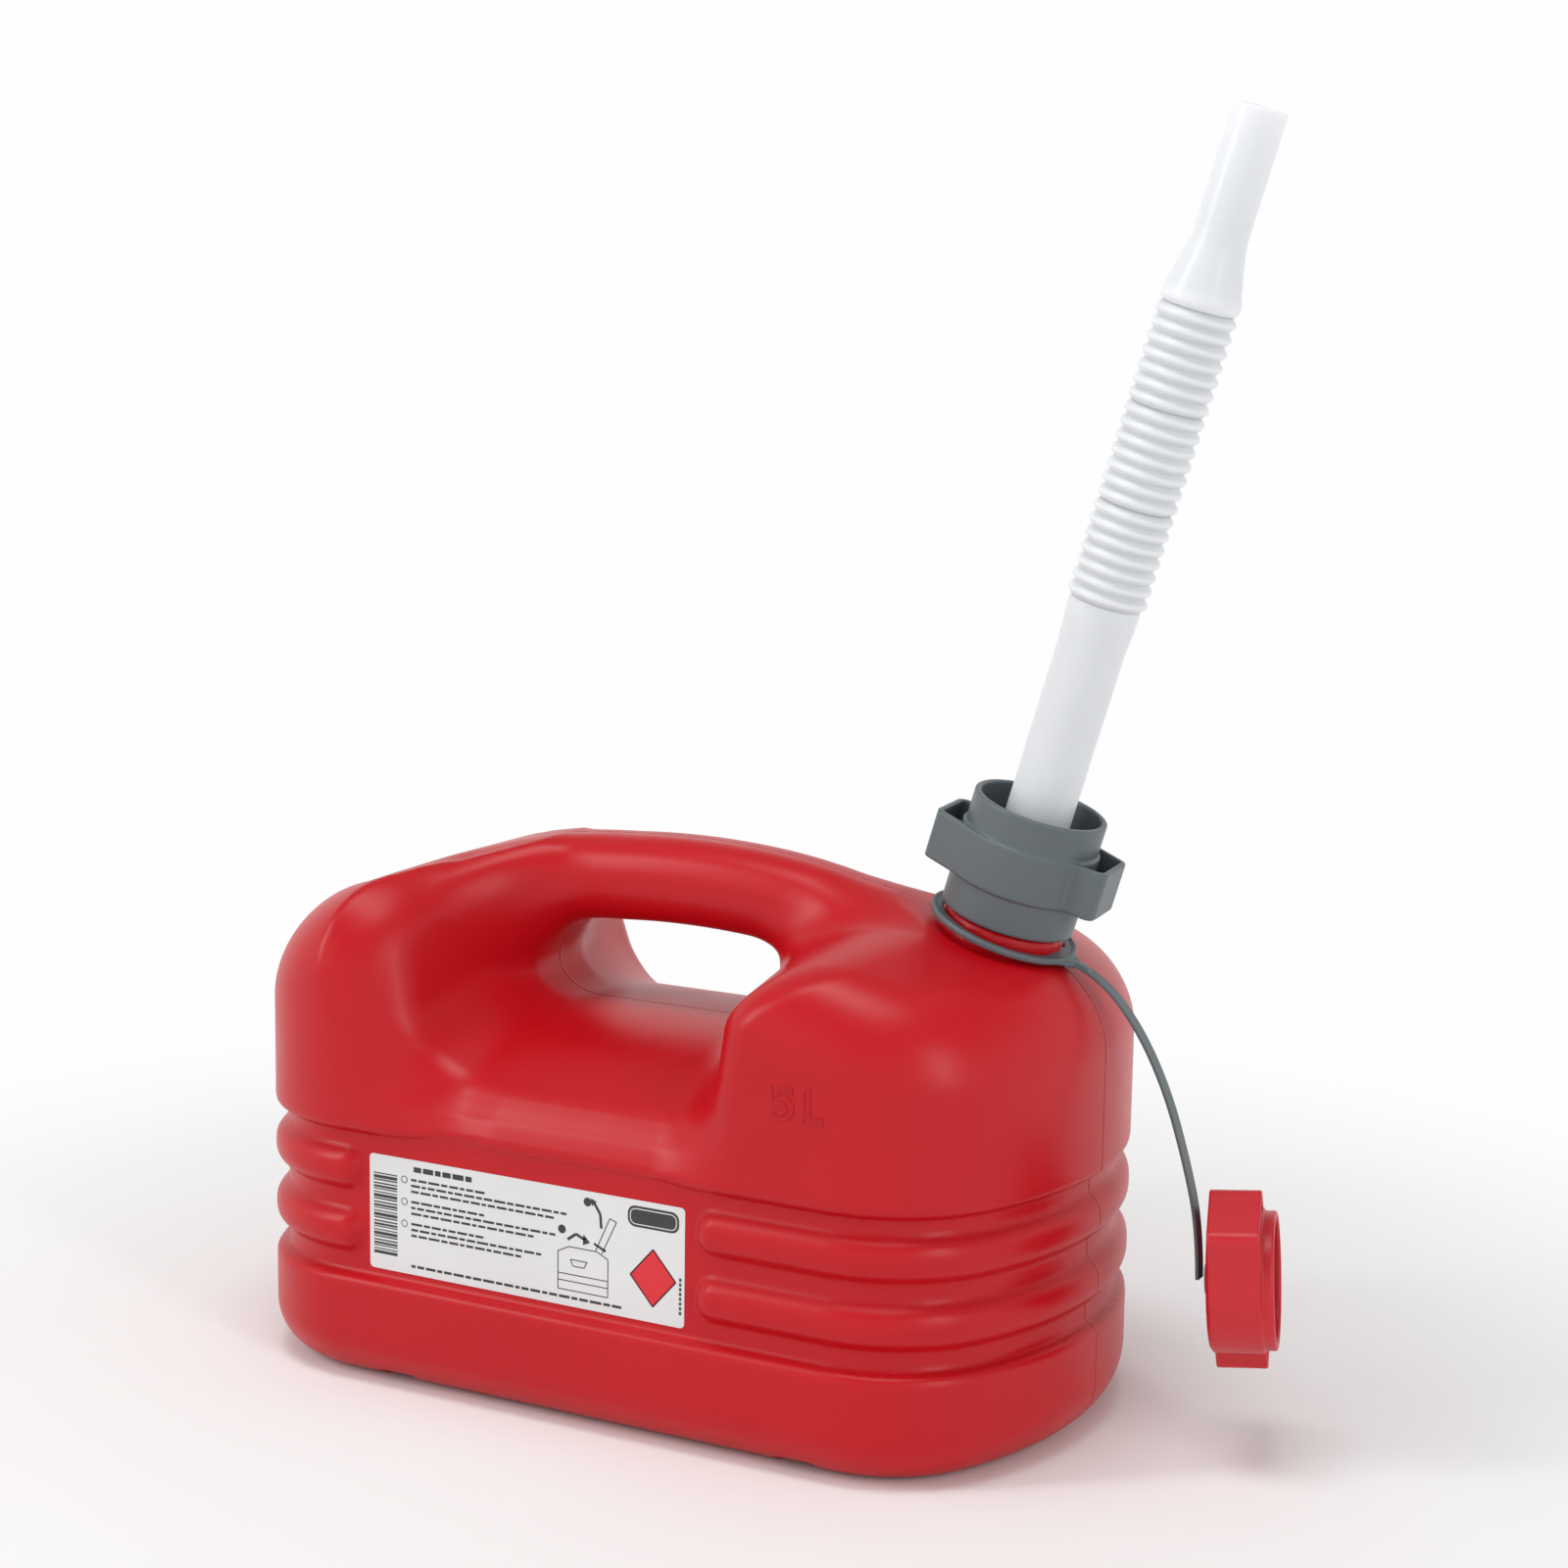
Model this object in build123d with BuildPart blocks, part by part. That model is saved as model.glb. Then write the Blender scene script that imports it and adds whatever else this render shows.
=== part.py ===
from build123d import *
import math
import os

# Five litre polyethylene can. Origin at the middle of its underside, +X to the neck, +Z up,
# the labelled long side towards -Y. Millimetres.

# ---- driving dimensions: can ----
length = 285.0
width = 160.0
wall = 2.0
plan_corner_r = 47.0
end_bow_r = 120.0
bottom_round = 17.0
step_round = 3.0
base_top = 35.5
upper_bottom = 83.0
waist_inset = 4.2
waist_overlap = 12.0
rib_heights = (49.5, 70.0)
rib_half_height = 7.0
rib_round = 5.5
rib_gap = (-79.0, 44.0)
rib_end_r = 6.5
pad_level = -7.0
blank_height = 220.0
front_round = 28.0
rear_roof_point = (-94.0, 157.0)
rear_roof_tilt = 18.0
rear_round = 30.0
groove_places = (-69.0, 76.0)
groove_width = 12.0
groove_depth = 3.2

# ---- handle and hand opening ----
handle_width = 31.0
handle_height = 26.0
handle_round = 12.0
handle_line = ((-100, 140), (-66, 154), (-30, 160.2), (3, 161.5), (36, 159), (66, 152), (92, 141))
opening_outline = ((-47, 91), (30, 91), (46, 112), (50, 136), (68, 195), (-96, 195), (-62, 136), (-66, 112))
opening_corner_r = 13.0
floor_height = 115.5
floor_line = ((30, 113.8), (52, 107.5), (70, 98), (95, 82))

# ---- neck and its stack; heights are along the neck's axis from the foot of the collar ----
neck_tilt = 16.5
neck_foot = (108.5, 0, 160.5)
neck_r = 16.9
neck_bore_r = 14.5
neck_mouth = 14.5
neck_root = -8.5
bore_overrun = 6.0
bead_r = 18.9
bead_bottom = -9.0
bead_top = -0.6
thread_pitch = 4.0
thread_turns = 2.5
thread_width = 1.4
thread_root = 0.4
thread_start = 2.5
neck_thread_depth = 1.4
collar_thread_depth = 1.3

# ---- union collar and cap ----
collar_height = 36.5
collar_r = 20.8
collar_bore_r = 18.7
collar_upper_bore_r = 18.9
collar_web = (18.3, 21.0)
spout_hole_r = 10.9
band_r = 21.7
band_low = 11.0
band_high = 26.3
ear_tip_x = 24.8
ear_tip_y = 8.0
ear_tip_r = 3.6
ear_wall = 1.8
collar_ear_angle = 5.0
cap_depth = 20.0
cap_floor = 2.4
cap_band = (0.8, 16.3)
cap_centre = (178.4, 0, 56.3)
cap_heading = 16.0
cap_ear_angle = 29.0
cap_rise = 3.7
liner_thickness = 1.5
liner_r = 18.2
liner_bore_r = 5.8
cap_thread_start = 7.4

# ---- seal and spout ----
seal_r = 17.6
seal_bore_r = 12.0
seal_thickness = 1.5
flange_r = 17.5
flange_thickness = 2.1
spout_wall = 1.2
tube_r = 10.2
tube_top_r = 10.9
tube_flare = (88.0, 98.0)
bellows_bottom = 102.0
bellows_top = 192.0
bellows_count = 21
bellows_crest_r = 12.2
bellows_root_r = 10.7
bellows_crest = (0.36, 0.64)
bellows_sections = 3
cone_foot = ((11.9, 194.2), (11.6, 196.5))
cone_top = 211.5
spout_top = 251.0
tip_r = 8.05

# ---- tether ----
ring_height = -4.2
ring_thickness = 1.6
ring_tilt = 3.5
ring_r = 23.4
ring_bore_r = 19.3
strap_width = 4.4
strap_thickness = 1.5
strap_line = ((127.9, 149.0), (139, 145.4), (152, 131.5), (162, 113), (169.0, 92), (174.0, 72), (174.6, 56))
button_head_r = 4.6
button_head = 1.2
button_gap = 0.4
stud_r = 2.4
stud_hole_clearance = 0.08
barb_r = 3.8
barb_length = 1.6

# ---- label ----
label_place = (-18.5, 57.3)
label_size = (116.0, 37.6)
label_thickness = 0.15
label_corner_r = 1.5

neck_plane = Plane(
    origin=neck_foot,
    x_dir=(math.cos(math.radians(neck_tilt)), 0, -math.sin(math.radians(neck_tilt))),
    z_dir=(math.sin(math.radians(neck_tilt)), 0, math.cos(math.radians(neck_tilt))),
)
# The cap hangs with its closed face towards the can: its axis is turned by cap_heading and rises a little.
cap_up = Vector(0, 0, 1).rotate(Axis.Y, -cap_rise).rotate(Axis.Z, cap_heading)
cap_axis = Vector(1, 0, 0).rotate(Axis.Y, -cap_rise).rotate(Axis.Z, cap_heading)
cap_plane = Plane(
    origin=cap_centre,
    x_dir=cap_up,
    z_dir=cap_axis,
)
# The front roof lies square to the neck, just below the collar's foot; the rear one rises forwards.
front_roof = neck_plane.offset(pad_level)
rear_roof = Plane(
    origin=(rear_roof_point[0], 0, rear_roof_point[1]),
    x_dir=(math.cos(math.radians(rear_roof_tilt)), 0, math.sin(math.radians(rear_roof_tilt))),
    z_dir=(-math.sin(math.radians(rear_roof_tilt)), 0, math.cos(math.radians(rear_roof_tilt))),
)


def plan_outline(inset):
    """Rounded rectangle with bowed ends, drawn in by inset."""
    half_l = length / 2 - inset
    half_w = width / 2 - inset
    bow_r = end_bow_r - inset
    end_x = half_l - bow_r + math.sqrt(bow_r**2 - half_w**2)
    with BuildSketch(Plane.XY) as outline:
        with BuildLine():
            Line((-end_x, -half_w), (end_x, -half_w))
            ThreePointArc((end_x, -half_w), (half_l, 0), (end_x, half_w))
            Line((end_x, half_w), (-end_x, half_w))
            ThreePointArc((-end_x, half_w), (-half_l, 0), (-end_x, -half_w))
        make_face()
        fillet(outline.vertices(), plan_corner_r - inset)
    return outline.sketch


def roofed_block(inset, roof, roof_round):
    """The plan outline carried up and cut off by one sloping roof plane, with a round shoulder."""
    with BuildPart() as block:
        with BuildSketch(Plane.XY.offset(upper_bottom + inset)):
            add(plan_outline(inset))
        extrude(amount=blank_height)
        split(bisect_by=roof.offset(-inset), keep=Keep.BOTTOM)
        fillet(block.faces().filter_by(roof).sort_by(Axis.Z)[-1].edges(), roof_round - inset)
    return block.part


def base_block(inset):
    """The solid foot band under the waist."""
    with BuildPart() as block:
        with BuildSketch(Plane.XY.offset(inset)):
            add(plan_outline(inset))
        extrude(amount=base_top - 2 * inset)
        fillet(block.edges().group_by(Axis.Z)[0], bottom_round - inset)
        fillet(block.edges().group_by(Axis.Z)[-1], step_round)
    return block.part


def waist_block(inset):
    """The recessed waist, which runs on inside the blocks above and below it."""
    with BuildPart() as block:
        with BuildSketch(Plane.XY.offset(base_top - waist_overlap)):
            add(plan_outline(waist_inset + inset))
        extrude(amount=upper_bottom - base_top + 2 * waist_overlap)
    return block.part


def rib(inset, height):
    """One level of ribs: a round-edged band at each end, open along the label's stretch."""
    gap_middle = (rib_gap[0] + rib_gap[1]) / 2
    gap_length = rib_gap[1] - rib_gap[0] + 2 * inset
    with BuildPart() as band:
        with BuildSketch(Plane.XY.offset(height - rib_half_height + inset)) as ends:
            add(plan_outline(inset))
            with Locations((gap_middle, 0)):
                Rectangle(gap_length, 2 * width, mode=Mode.SUBTRACT)
            cut_corners = ends.vertices().filter_by(lambda v: abs(v.X - gap_middle) < gap_length / 2 + 0.1)
            fillet(cut_corners, rib_end_r)
        extrude(amount=2 * (rib_half_height - inset))
        fillet(band.edges().filter_by(Axis.Z, reverse=True), rib_round - inset)
    return band.part


def hand_opening(inset):
    """All that is open under and beside the handle: a leaning-walled gap down to a saddle floor."""
    side_points = [(y, z - inset) for y, z in floor_line]
    floor_points = [(-y, z) for y, z in reversed(side_points)] + [(0, floor_height - inset)] + side_points
    far_y = floor_line[-1][0]
    with BuildPart() as gap:
        with BuildSketch(Plane.XZ) as outline:
            with BuildLine():
                Polyline(*opening_outline, close=True)
            make_face()
            if inset:
                offset(amount=inset, kind=Kind.INTERSECTION)
            fillet(outline.vertices(), opening_corner_r + inset)
        extrude(amount=width, both=True)
        with BuildSketch(Plane.YZ):
            with BuildLine():
                floor = Spline(*floor_points)
                Polyline(floor @ 1, (far_y, blank_height), (-far_y, blank_height), floor @ 0)
            make_face()
        extrude(amount=length, both=True, mode=Mode.INTERSECT)
    return gap.part


def handle_bar(inset):
    """The handle's tube, running into the shoulder at each end."""
    with BuildPart() as bar:
        with BuildLine(Plane.XZ) as route:
            Spline(*handle_line)
        with BuildSketch(Plane(origin=route.line @ 0, x_dir=(0, 1, 0), z_dir=route.line % 0)):
            RectangleRounded(handle_width - 2 * inset, handle_height - 2 * inset, handle_round - inset)
        sweep(path=route.line)
    return bar.part


def can_shape(inset):
    """The can's whole outer surface, or with an inset its hollow, without the neck."""
    front = roofed_block(inset, front_roof, front_round)
    rear = roofed_block(inset, rear_roof, rear_round)
    base = base_block(inset)
    waist = waist_block(inset)
    ribs = [rib(inset, height) for height in rib_heights]
    opening = hand_opening(inset)
    bar = handle_bar(inset)
    with BuildPart() as shape:
        add(front)
        add(rear, mode=Mode.INTERSECT)
        fillet(shape.edges().group_by(Axis.Z)[0], step_round)
        add(base)
        add(waist)
        add(ribs)
        for place in groove_places:
            with Locations((place, 0, 0)):
                Box(
                    groove_width + 2 * inset,
                    2 * width,
                    2 * (groove_depth + inset),
                    mode=Mode.SUBTRACT,
                )
        add(opening, mode=Mode.SUBTRACT)
        add(bar)
    return shape.part


def thread(radius, depth, start, turns, inward):
    """A helical ridge on the neck's axis, standing out of, or into, the given radius."""
    sign = -1 if inward else 1
    with BuildPart() as ridge:
        with BuildLine() as path:
            Helix(thread_pitch, thread_pitch * turns, radius, center=(0, 0, start))
        with BuildSketch(Plane(origin=path.line @ 0, x_dir=(1, 0, 0), z_dir=path.line % 0)):
            with BuildLine():
                Polyline(
                    (-sign * thread_root, -thread_width),
                    (sign * depth, -thread_width / 3),
                    (sign * depth, thread_width / 3),
                    (-sign * thread_root, thread_width),
                    close=True,
                )
            make_face()
        sweep(path=path.line, is_frenet=True)
    return ridge.part


def eared_outline(angle):
    """Grip band seen along its axis: a ring with two broad ears. Each leaves the ring tangentially on
    one side and comes straight back to it on the other, as in a pinwheel."""
    ear_foot = ear_tip_y + ear_tip_r
    cover = 4 * band_r
    with BuildSketch() as outline:
        for side in (0, 180):
            with BuildSketch(Plane.XY, mode=Mode.PRIVATE) as ear:
                Circle(band_r)
                with Locations((ear_tip_x, ear_tip_y), (ear_tip_x, -ear_tip_y)):
                    Circle(ear_tip_r)
                make_hull()
                with Locations((0, -ear_foot - cover / 2)):
                    Rectangle(cover, cover, mode=Mode.SUBTRACT)
            add(ear.sketch.rotate(Axis.Z, angle + side))
        Circle(band_r)
    return outline.sketch


def eared_band(angle):
    """The two ear loops with their finger gaps, and the ring between them, band_high - band_low tall."""
    outline = eared_outline(angle)
    with BuildSketch() as gaps:
        add(outline)
        offset(amount=-ear_wall)
        Circle(band_r, mode=Mode.SUBTRACT)
    with BuildPart() as band:
        with BuildSketch():
            add(outline)
            add(gaps.sketch, mode=Mode.SUBTRACT)
        extrude(amount=band_high - band_low)
    return band.part


def spout_ring(section):
    """One stretch of bellows: round crests and roots about the neck's axis."""
    pitch = (bellows_top - bellows_bottom) / bellows_count
    per_section = bellows_count // bellows_sections
    bottom = bellows_bottom + section * per_section * pitch
    outside = [(bellows_root_r, bottom)]
    for fold in range(per_section):
        outside.append((bellows_crest_r, bottom + (fold + bellows_crest[0]) * pitch))
        outside.append((bellows_crest_r, bottom + (fold + bellows_crest[1]) * pitch))
        outside.append((bellows_root_r, bottom + (fold + 1) * pitch))
    inside = [(r - spout_wall, z) for r, z in reversed(outside)]
    with BuildPart() as ring:
        with BuildSketch(Plane.XZ):
            with BuildLine():
                Polyline(*outside, *inside, close=True)
            make_face()
        revolve(axis=Axis.Z)
    return ring.part


neck_place = neck_plane.location
cap_place = cap_plane.location
outer_shape = can_shape(0)
hollow_shape = can_shape(wall)
neck_thread = thread(neck_r, neck_thread_depth, thread_start, thread_turns, False)
collar_start = thread_start + thread_pitch / 2
collar_thread = thread(collar_bore_r, collar_thread_depth, collar_start, thread_turns - 0.5, True)

# ---- can: one blow-moulded shell with its neck ----
with BuildPart() as can_body:
    add(outer_shape)
    add(hollow_shape, mode=Mode.SUBTRACT)
    with BuildSketch(neck_plane.offset(neck_root)):
        Circle(neck_r)
    extrude(amount=neck_mouth - neck_root)
    with BuildSketch(neck_plane.offset(bead_bottom)):
        Circle(bead_r)
    extrude(amount=bead_top - bead_bottom)
    with BuildSketch(neck_plane.offset(neck_root - bore_overrun)):
        Circle(neck_bore_r)
    extrude(amount=neck_mouth - neck_root + 2 * bore_overrun, mode=Mode.SUBTRACT)
    add(neck_place * neck_thread)
can_body.part.label = "can_body"

# ---- label on the recessed waist ----
waist_y = -(width / 2 - waist_inset)
with BuildPart() as side_label:
    with BuildSketch(Plane.XZ.offset(-waist_y)):
        with Locations(label_place):
            RectangleRounded(*label_size, label_corner_r)
    extrude(amount=label_thickness)
side_label.part.label = "side_label"

# ---- seal and spout ----
with BuildPart() as neck_gasket:
    with BuildSketch(neck_plane.offset(neck_mouth)):
        Circle(seal_r)
        Circle(seal_bore_r, mode=Mode.SUBTRACT)
    extrude(amount=seal_thickness)
neck_gasket.part.label = "neck_gasket"

flange_bottom = neck_mouth + seal_thickness
with BuildPart() as spout_tube:
    with BuildSketch(neck_plane * Plane.XZ):
        with BuildLine():
            Polyline(
                (tube_r - spout_wall, flange_bottom),
                (flange_r, flange_bottom),
                (flange_r, flange_bottom + flange_thickness),
                (tube_r, flange_bottom + flange_thickness),
                (tube_r, tube_flare[0]),
                (tube_top_r, tube_flare[1]),
                (bellows_root_r, bellows_bottom),
                (bellows_root_r - spout_wall, bellows_bottom),
                (tube_r - spout_wall, tube_flare[0]),
                close=True,
            )
        make_face()
    revolve(axis=Axis(neck_foot, neck_plane.z_dir))
spout_tube.part.label = "spout_tube"

bellows = []
for section, name in enumerate(("bellows_low", "bellows_mid", "bellows_high")):
    ring_shape = spout_ring(section)
    with BuildPart() as stretch:
        add(neck_place * ring_shape)
    stretch.part.label = name
    bellows.append(stretch.part)

with BuildPart() as spout_tip:
    with BuildSketch(neck_plane * Plane.XZ):
        with BuildLine():
            Polyline(
                (bellows_root_r, bellows_top),
                *cone_foot,
                (tip_r, cone_top),
                (tip_r, spout_top),
                (tip_r - spout_wall, spout_top),
                (tip_r - spout_wall, cone_top),
                (cone_foot[1][0] - spout_wall, cone_foot[1][1]),
                (bellows_root_r - spout_wall, bellows_top),
                close=True,
            )
        make_face()
    revolve(axis=Axis(neck_foot, neck_plane.z_dir))
spout_tip.part.label = "spout_tip"

# ---- union collar: threaded skirt, inner web that holds the spout's flange, eared grip band ----
collar_band = eared_band(collar_ear_angle)
with BuildPart() as union_collar:
    with BuildSketch(neck_plane):
        Circle(collar_r)
        Circle(collar_bore_r, mode=Mode.SUBTRACT)
    extrude(amount=collar_web[0])
    with BuildSketch(neck_plane.offset(collar_web[0])):
        Circle(collar_r)
        Circle(spout_hole_r, mode=Mode.SUBTRACT)
    extrude(amount=collar_web[1] - collar_web[0])
    with BuildSketch(neck_plane.offset(collar_web[1])):
        Circle(collar_r)
        Circle(collar_upper_bore_r, mode=Mode.SUBTRACT)
    extrude(amount=collar_height - collar_web[1])
    add(neck_plane.offset(band_low).location * collar_band)
    with BuildSketch(neck_plane.offset(band_low)):
        Circle(collar_bore_r)
    extrude(amount=collar_web[0] - band_low, mode=Mode.SUBTRACT)
    with BuildSketch(neck_plane.offset(collar_web[0])):
        Circle(spout_hole_r)
    extrude(amount=collar_web[1] - collar_web[0], mode=Mode.SUBTRACT)
    with BuildSketch(neck_plane.offset(collar_web[1])):
        Circle(collar_upper_bore_r)
    extrude(amount=collar_height - collar_web[1], mode=Mode.SUBTRACT)
    add(neck_place * collar_thread)
union_collar.part.label = "union_collar"

# ---- screw cap, lying on its side on the tether's button ----
cap_band_shape = eared_band(cap_ear_angle)
cap_thread = thread(collar_bore_r, collar_thread_depth, cap_thread_start, thread_turns - 0.5, True)
with BuildPart() as screw_cap:
    with BuildSketch(cap_plane):
        Circle(collar_r)
    extrude(amount=cap_depth)
    add(cap_plane.offset(cap_band[0]).location * cap_band_shape)
    with BuildSketch(cap_plane.offset(cap_floor)):
        Circle(collar_bore_r)
    extrude(amount=cap_depth - cap_floor, mode=Mode.SUBTRACT)
    with BuildSketch(cap_plane):
        Circle(stud_r + stud_hole_clearance)
    extrude(amount=cap_floor, mode=Mode.SUBTRACT)
    add(cap_place * cap_thread)
screw_cap.part.label = "screw_cap"

with BuildPart() as cap_liner:
    with BuildSketch(cap_plane.offset(cap_floor)):
        Circle(liner_r)
        Circle(liner_bore_r, mode=Mode.SUBTRACT)
    extrude(amount=liner_thickness)
cap_liner.part.label = "cap_liner"

# ---- tether: ring round the neck, hanging a little lower at the strap; flat strap; button in the cap ----
ring_plane = neck_plane.offset(ring_height).rotated((0, ring_tilt, 0))
with BuildPart() as tether_ring:
    with BuildSketch(ring_plane):
        Circle(ring_r)
        Circle(ring_bore_r, mode=Mode.SUBTRACT)
    extrude(amount=ring_thickness / 2, both=True)
tether_ring.part.label = "tether_ring"


def bend_radii(points):
    """For each inner point, 0.45 of the shorter run beside it over the tangent of half the turn."""
    radii = []
    for before, here, after in zip(points, points[1:], points[2:]):
        run_in = Vector(*here) - Vector(*before)
        run_out = Vector(*after) - Vector(*here)
        half_turn = math.radians(run_in.get_angle(run_out)) / 2
        radii.append(0.45 * min(run_in.length, run_out.length) / math.tan(half_turn))
    return radii


strap_radii = bend_radii(strap_line)
with BuildPart() as tether_strap:
    with BuildLine(Plane.XZ) as strap_route:
        FilletPolyline(*strap_line, radius=strap_radii)
    with BuildSketch(Plane(strap_route.line @ 0, x_dir=(0, 1, 0), z_dir=strap_route.line % 0)):
        Rectangle(strap_width, strap_thickness)
    sweep(path=strap_route.line)
tether_strap.part.label = "tether_strap"
strap_length = strap_route.wire().length
print("strap radii", [round(radius, 1) for radius in strap_radii])
print("strap length", round(strap_length, 1), "volume", round(tether_strap.part.volume, 1))
print("section times length", round(strap_width * strap_thickness * strap_length, 1))

with BuildPart() as tether_button:
    with BuildSketch(cap_plane.offset(-button_gap)):
        Circle(button_head_r)
    extrude(amount=-button_head)
    with BuildSketch(cap_plane.offset(-button_gap)):
        Circle(stud_r)
    extrude(amount=cap_floor + 2 * button_gap)
    with BuildSketch(cap_plane.offset(cap_floor + button_gap)):
        Circle(barb_r)
    extrude(amount=barb_length)
tether_button.part.label = "tether_button"

pieces = [can_body, side_label, neck_gasket, spout_tube, spout_tip, union_collar, screw_cap]
pieces += [cap_liner, tether_ring, tether_strap, tether_button]
os.makedirs("parts", exist_ok=True)
for shape in [piece.part for piece in pieces] + bellows:
    export_step(shape, f"parts/{shape.label}.step")

hollow_litres = hollow_shape.volume / 1e6
print("hollow in litres", round(hollow_litres, 2))
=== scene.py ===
import math

import bpy
import numpy as np
import openvdb
from mathutils import Matrix, Vector


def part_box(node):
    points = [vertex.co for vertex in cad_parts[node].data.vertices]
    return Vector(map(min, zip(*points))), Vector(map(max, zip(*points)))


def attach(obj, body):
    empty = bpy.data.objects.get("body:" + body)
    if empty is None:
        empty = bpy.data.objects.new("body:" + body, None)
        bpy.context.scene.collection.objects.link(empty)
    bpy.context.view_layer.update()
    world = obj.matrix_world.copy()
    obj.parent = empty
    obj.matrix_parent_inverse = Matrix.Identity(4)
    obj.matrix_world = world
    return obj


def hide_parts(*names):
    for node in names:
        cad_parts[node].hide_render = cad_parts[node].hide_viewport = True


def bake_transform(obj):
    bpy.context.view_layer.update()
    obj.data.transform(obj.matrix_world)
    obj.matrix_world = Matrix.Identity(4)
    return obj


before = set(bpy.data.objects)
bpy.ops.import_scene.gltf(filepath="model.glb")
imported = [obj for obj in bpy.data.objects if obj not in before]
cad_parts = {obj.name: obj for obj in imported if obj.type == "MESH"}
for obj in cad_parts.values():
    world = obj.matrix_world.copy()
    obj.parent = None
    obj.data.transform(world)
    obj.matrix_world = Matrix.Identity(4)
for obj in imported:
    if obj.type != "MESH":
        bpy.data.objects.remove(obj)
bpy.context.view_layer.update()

# A five litre can. Shapes are worked out in millimetres, in the frame's axes, and made in metres.
MM = 0.001

# ---- the can's main sizes, as in the frame ----
HALF_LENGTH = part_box("can_body")[1][0] / MM
HALF_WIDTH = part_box("can_body")[1][1] / MM
BOW_R = 120.0
CORNER_R = 47.0
NECK_TILT = math.radians(16.5)
NECK_FOOT = np.array([108.5, 0.0, 160.5])
NECK_AXIS = np.array([math.sin(NECK_TILT), 0.0, math.cos(NECK_TILT)])
NECK_X = np.array([math.cos(NECK_TILT), 0.0, -math.sin(NECK_TILT)])

# ---- the hanging cap's place: the middle of its top, and the way that its mouth faces ----
CAP_CENTRE = np.array([178.4, 0.0, 56.3])
CAP_HEADING = math.radians(16.0)
CAP_RISE = math.radians(3.7)
CAP_FLAT = np.array([math.cos(CAP_HEADING), math.sin(CAP_HEADING), 0.0])
CAP_AXIS = CAP_FLAT * math.cos(CAP_RISE) + np.array([0.0, 0.0, math.sin(CAP_RISE)])
CAP_UP = np.array([0.0, 0.0, math.cos(CAP_RISE)]) - CAP_FLAT * math.sin(CAP_RISE)


# ------------------------------------------------------------------ camera
CAMERA_AZIMUTH = math.radians(28.2)
CAMERA_ELEVATION = math.radians(8.9)
CAMERA_DISTANCE = 0.9334
CAMERA_TARGET = Vector((0.0301, 0.0, 0.1941))
CAMERA_ROLL = math.radians(0.9)
LENS = 67.55
SENSOR_WIDTH = 36


def make_camera():
    back = Vector(
        (
            math.sin(CAMERA_AZIMUTH) * math.cos(CAMERA_ELEVATION),
            -math.cos(CAMERA_AZIMUTH) * math.cos(CAMERA_ELEVATION),
            math.sin(CAMERA_ELEVATION),
        )
    )
    data = bpy.data.cameras.new("camera")
    data.lens = LENS
    data.sensor_width = SENSOR_WIDTH
    camera = bpy.data.objects.new("camera", data)
    bpy.context.scene.collection.objects.link(camera)
    turn = back.to_track_quat("Z", "Y").to_matrix().to_4x4() @ Matrix.Rotation(CAMERA_ROLL, 4, "Z")
    camera.matrix_world = Matrix.Translation(CAMERA_TARGET + back * CAMERA_DISTANCE) @ turn
    bpy.context.scene.camera = camera


make_camera()


# ------------------------------------------------------------------ distance fields
def round_and(a, b, r):
    """Intersection of two distance fields with its edge rounded to r."""
    corner = np.hypot(np.maximum(a + r, 0), np.maximum(b + r, 0))
    return np.minimum(np.maximum(a, b), -r) + corner


def round_or(a, b, r):
    """Union of two distance fields with its inner corner filled to r."""
    corner = np.hypot(np.maximum(r - a, 0), np.maximum(r - b, 0))
    return np.maximum(np.minimum(a, b), r) - corner


def between(value, low, high):
    """Distance outside the span from low to high, negative within it."""
    return np.abs(value - (low + high) / 2) - (high - low) / 2


def mesh_object(name, points, faces, smooth=True):
    mesh = bpy.data.meshes.new(name)
    mesh.from_pydata([tuple(p) for p in points], [], [tuple(f) for f in faces])
    mesh.update()
    if smooth:
        mesh.polygons.foreach_set("use_smooth", [True] * len(mesh.polygons))
    made = bpy.data.objects.new(name, mesh)
    bpy.context.scene.collection.objects.link(made)
    return made


# How a field becomes a mesh: the first three are in cells.
BAND_CELLS = 4
PROBE_SHARE = 0.15
LONGEST_PULL = 0.8
PULL_ROUNDS = 3
LEAST_SLOPE_SQUARED = 0.05
LEAST_MOVE = 1e-9


def field_object(name, field, low, high, step, place=None):
    """A quad mesh of the surface where field is zero, pulled onto that surface in a few rounds."""
    low = np.array(low, float)
    counts = np.ceil((np.array(high, float) - low) / step).astype(int) + 1
    axes = [low[i] + step * np.arange(counts[i]) for i in range(3)]
    x, y, z = np.meshgrid(*axes, indexing="ij")
    band = BAND_CELLS * step
    values = np.clip(field(x, y, z), -band, band).astype(np.float32)
    grid = openvdb.FloatGrid(band)
    grid.copyFromArray(np.ascontiguousarray(values))
    points, quads = grid.convertToQuads(0.0)
    points = points.astype(float) * step + low
    probe = PROBE_SHARE * step
    for _ in range(PULL_ROUNDS):
        p = points.T
        value = field(*p)
        slope = np.stack(
            [
                field(*(p + offset)) - field(*(p - offset))
                for offset in (np.eye(3)[:, :, None] * probe)
            ],
            axis=1,
        ) / (2 * probe)
        length = np.maximum((slope**2).sum(1), LEAST_SLOPE_SQUARED)
        move = slope * (value / length)[:, None]
        size = np.maximum(np.linalg.norm(move, axis=1), LEAST_MOVE)
        points = points - move * np.minimum(1, LONGEST_PULL * step / size)[:, None]
    if place is not None:
        points = place(points)
    return mesh_object(name, points * MM, quads[:, ::-1])


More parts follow.
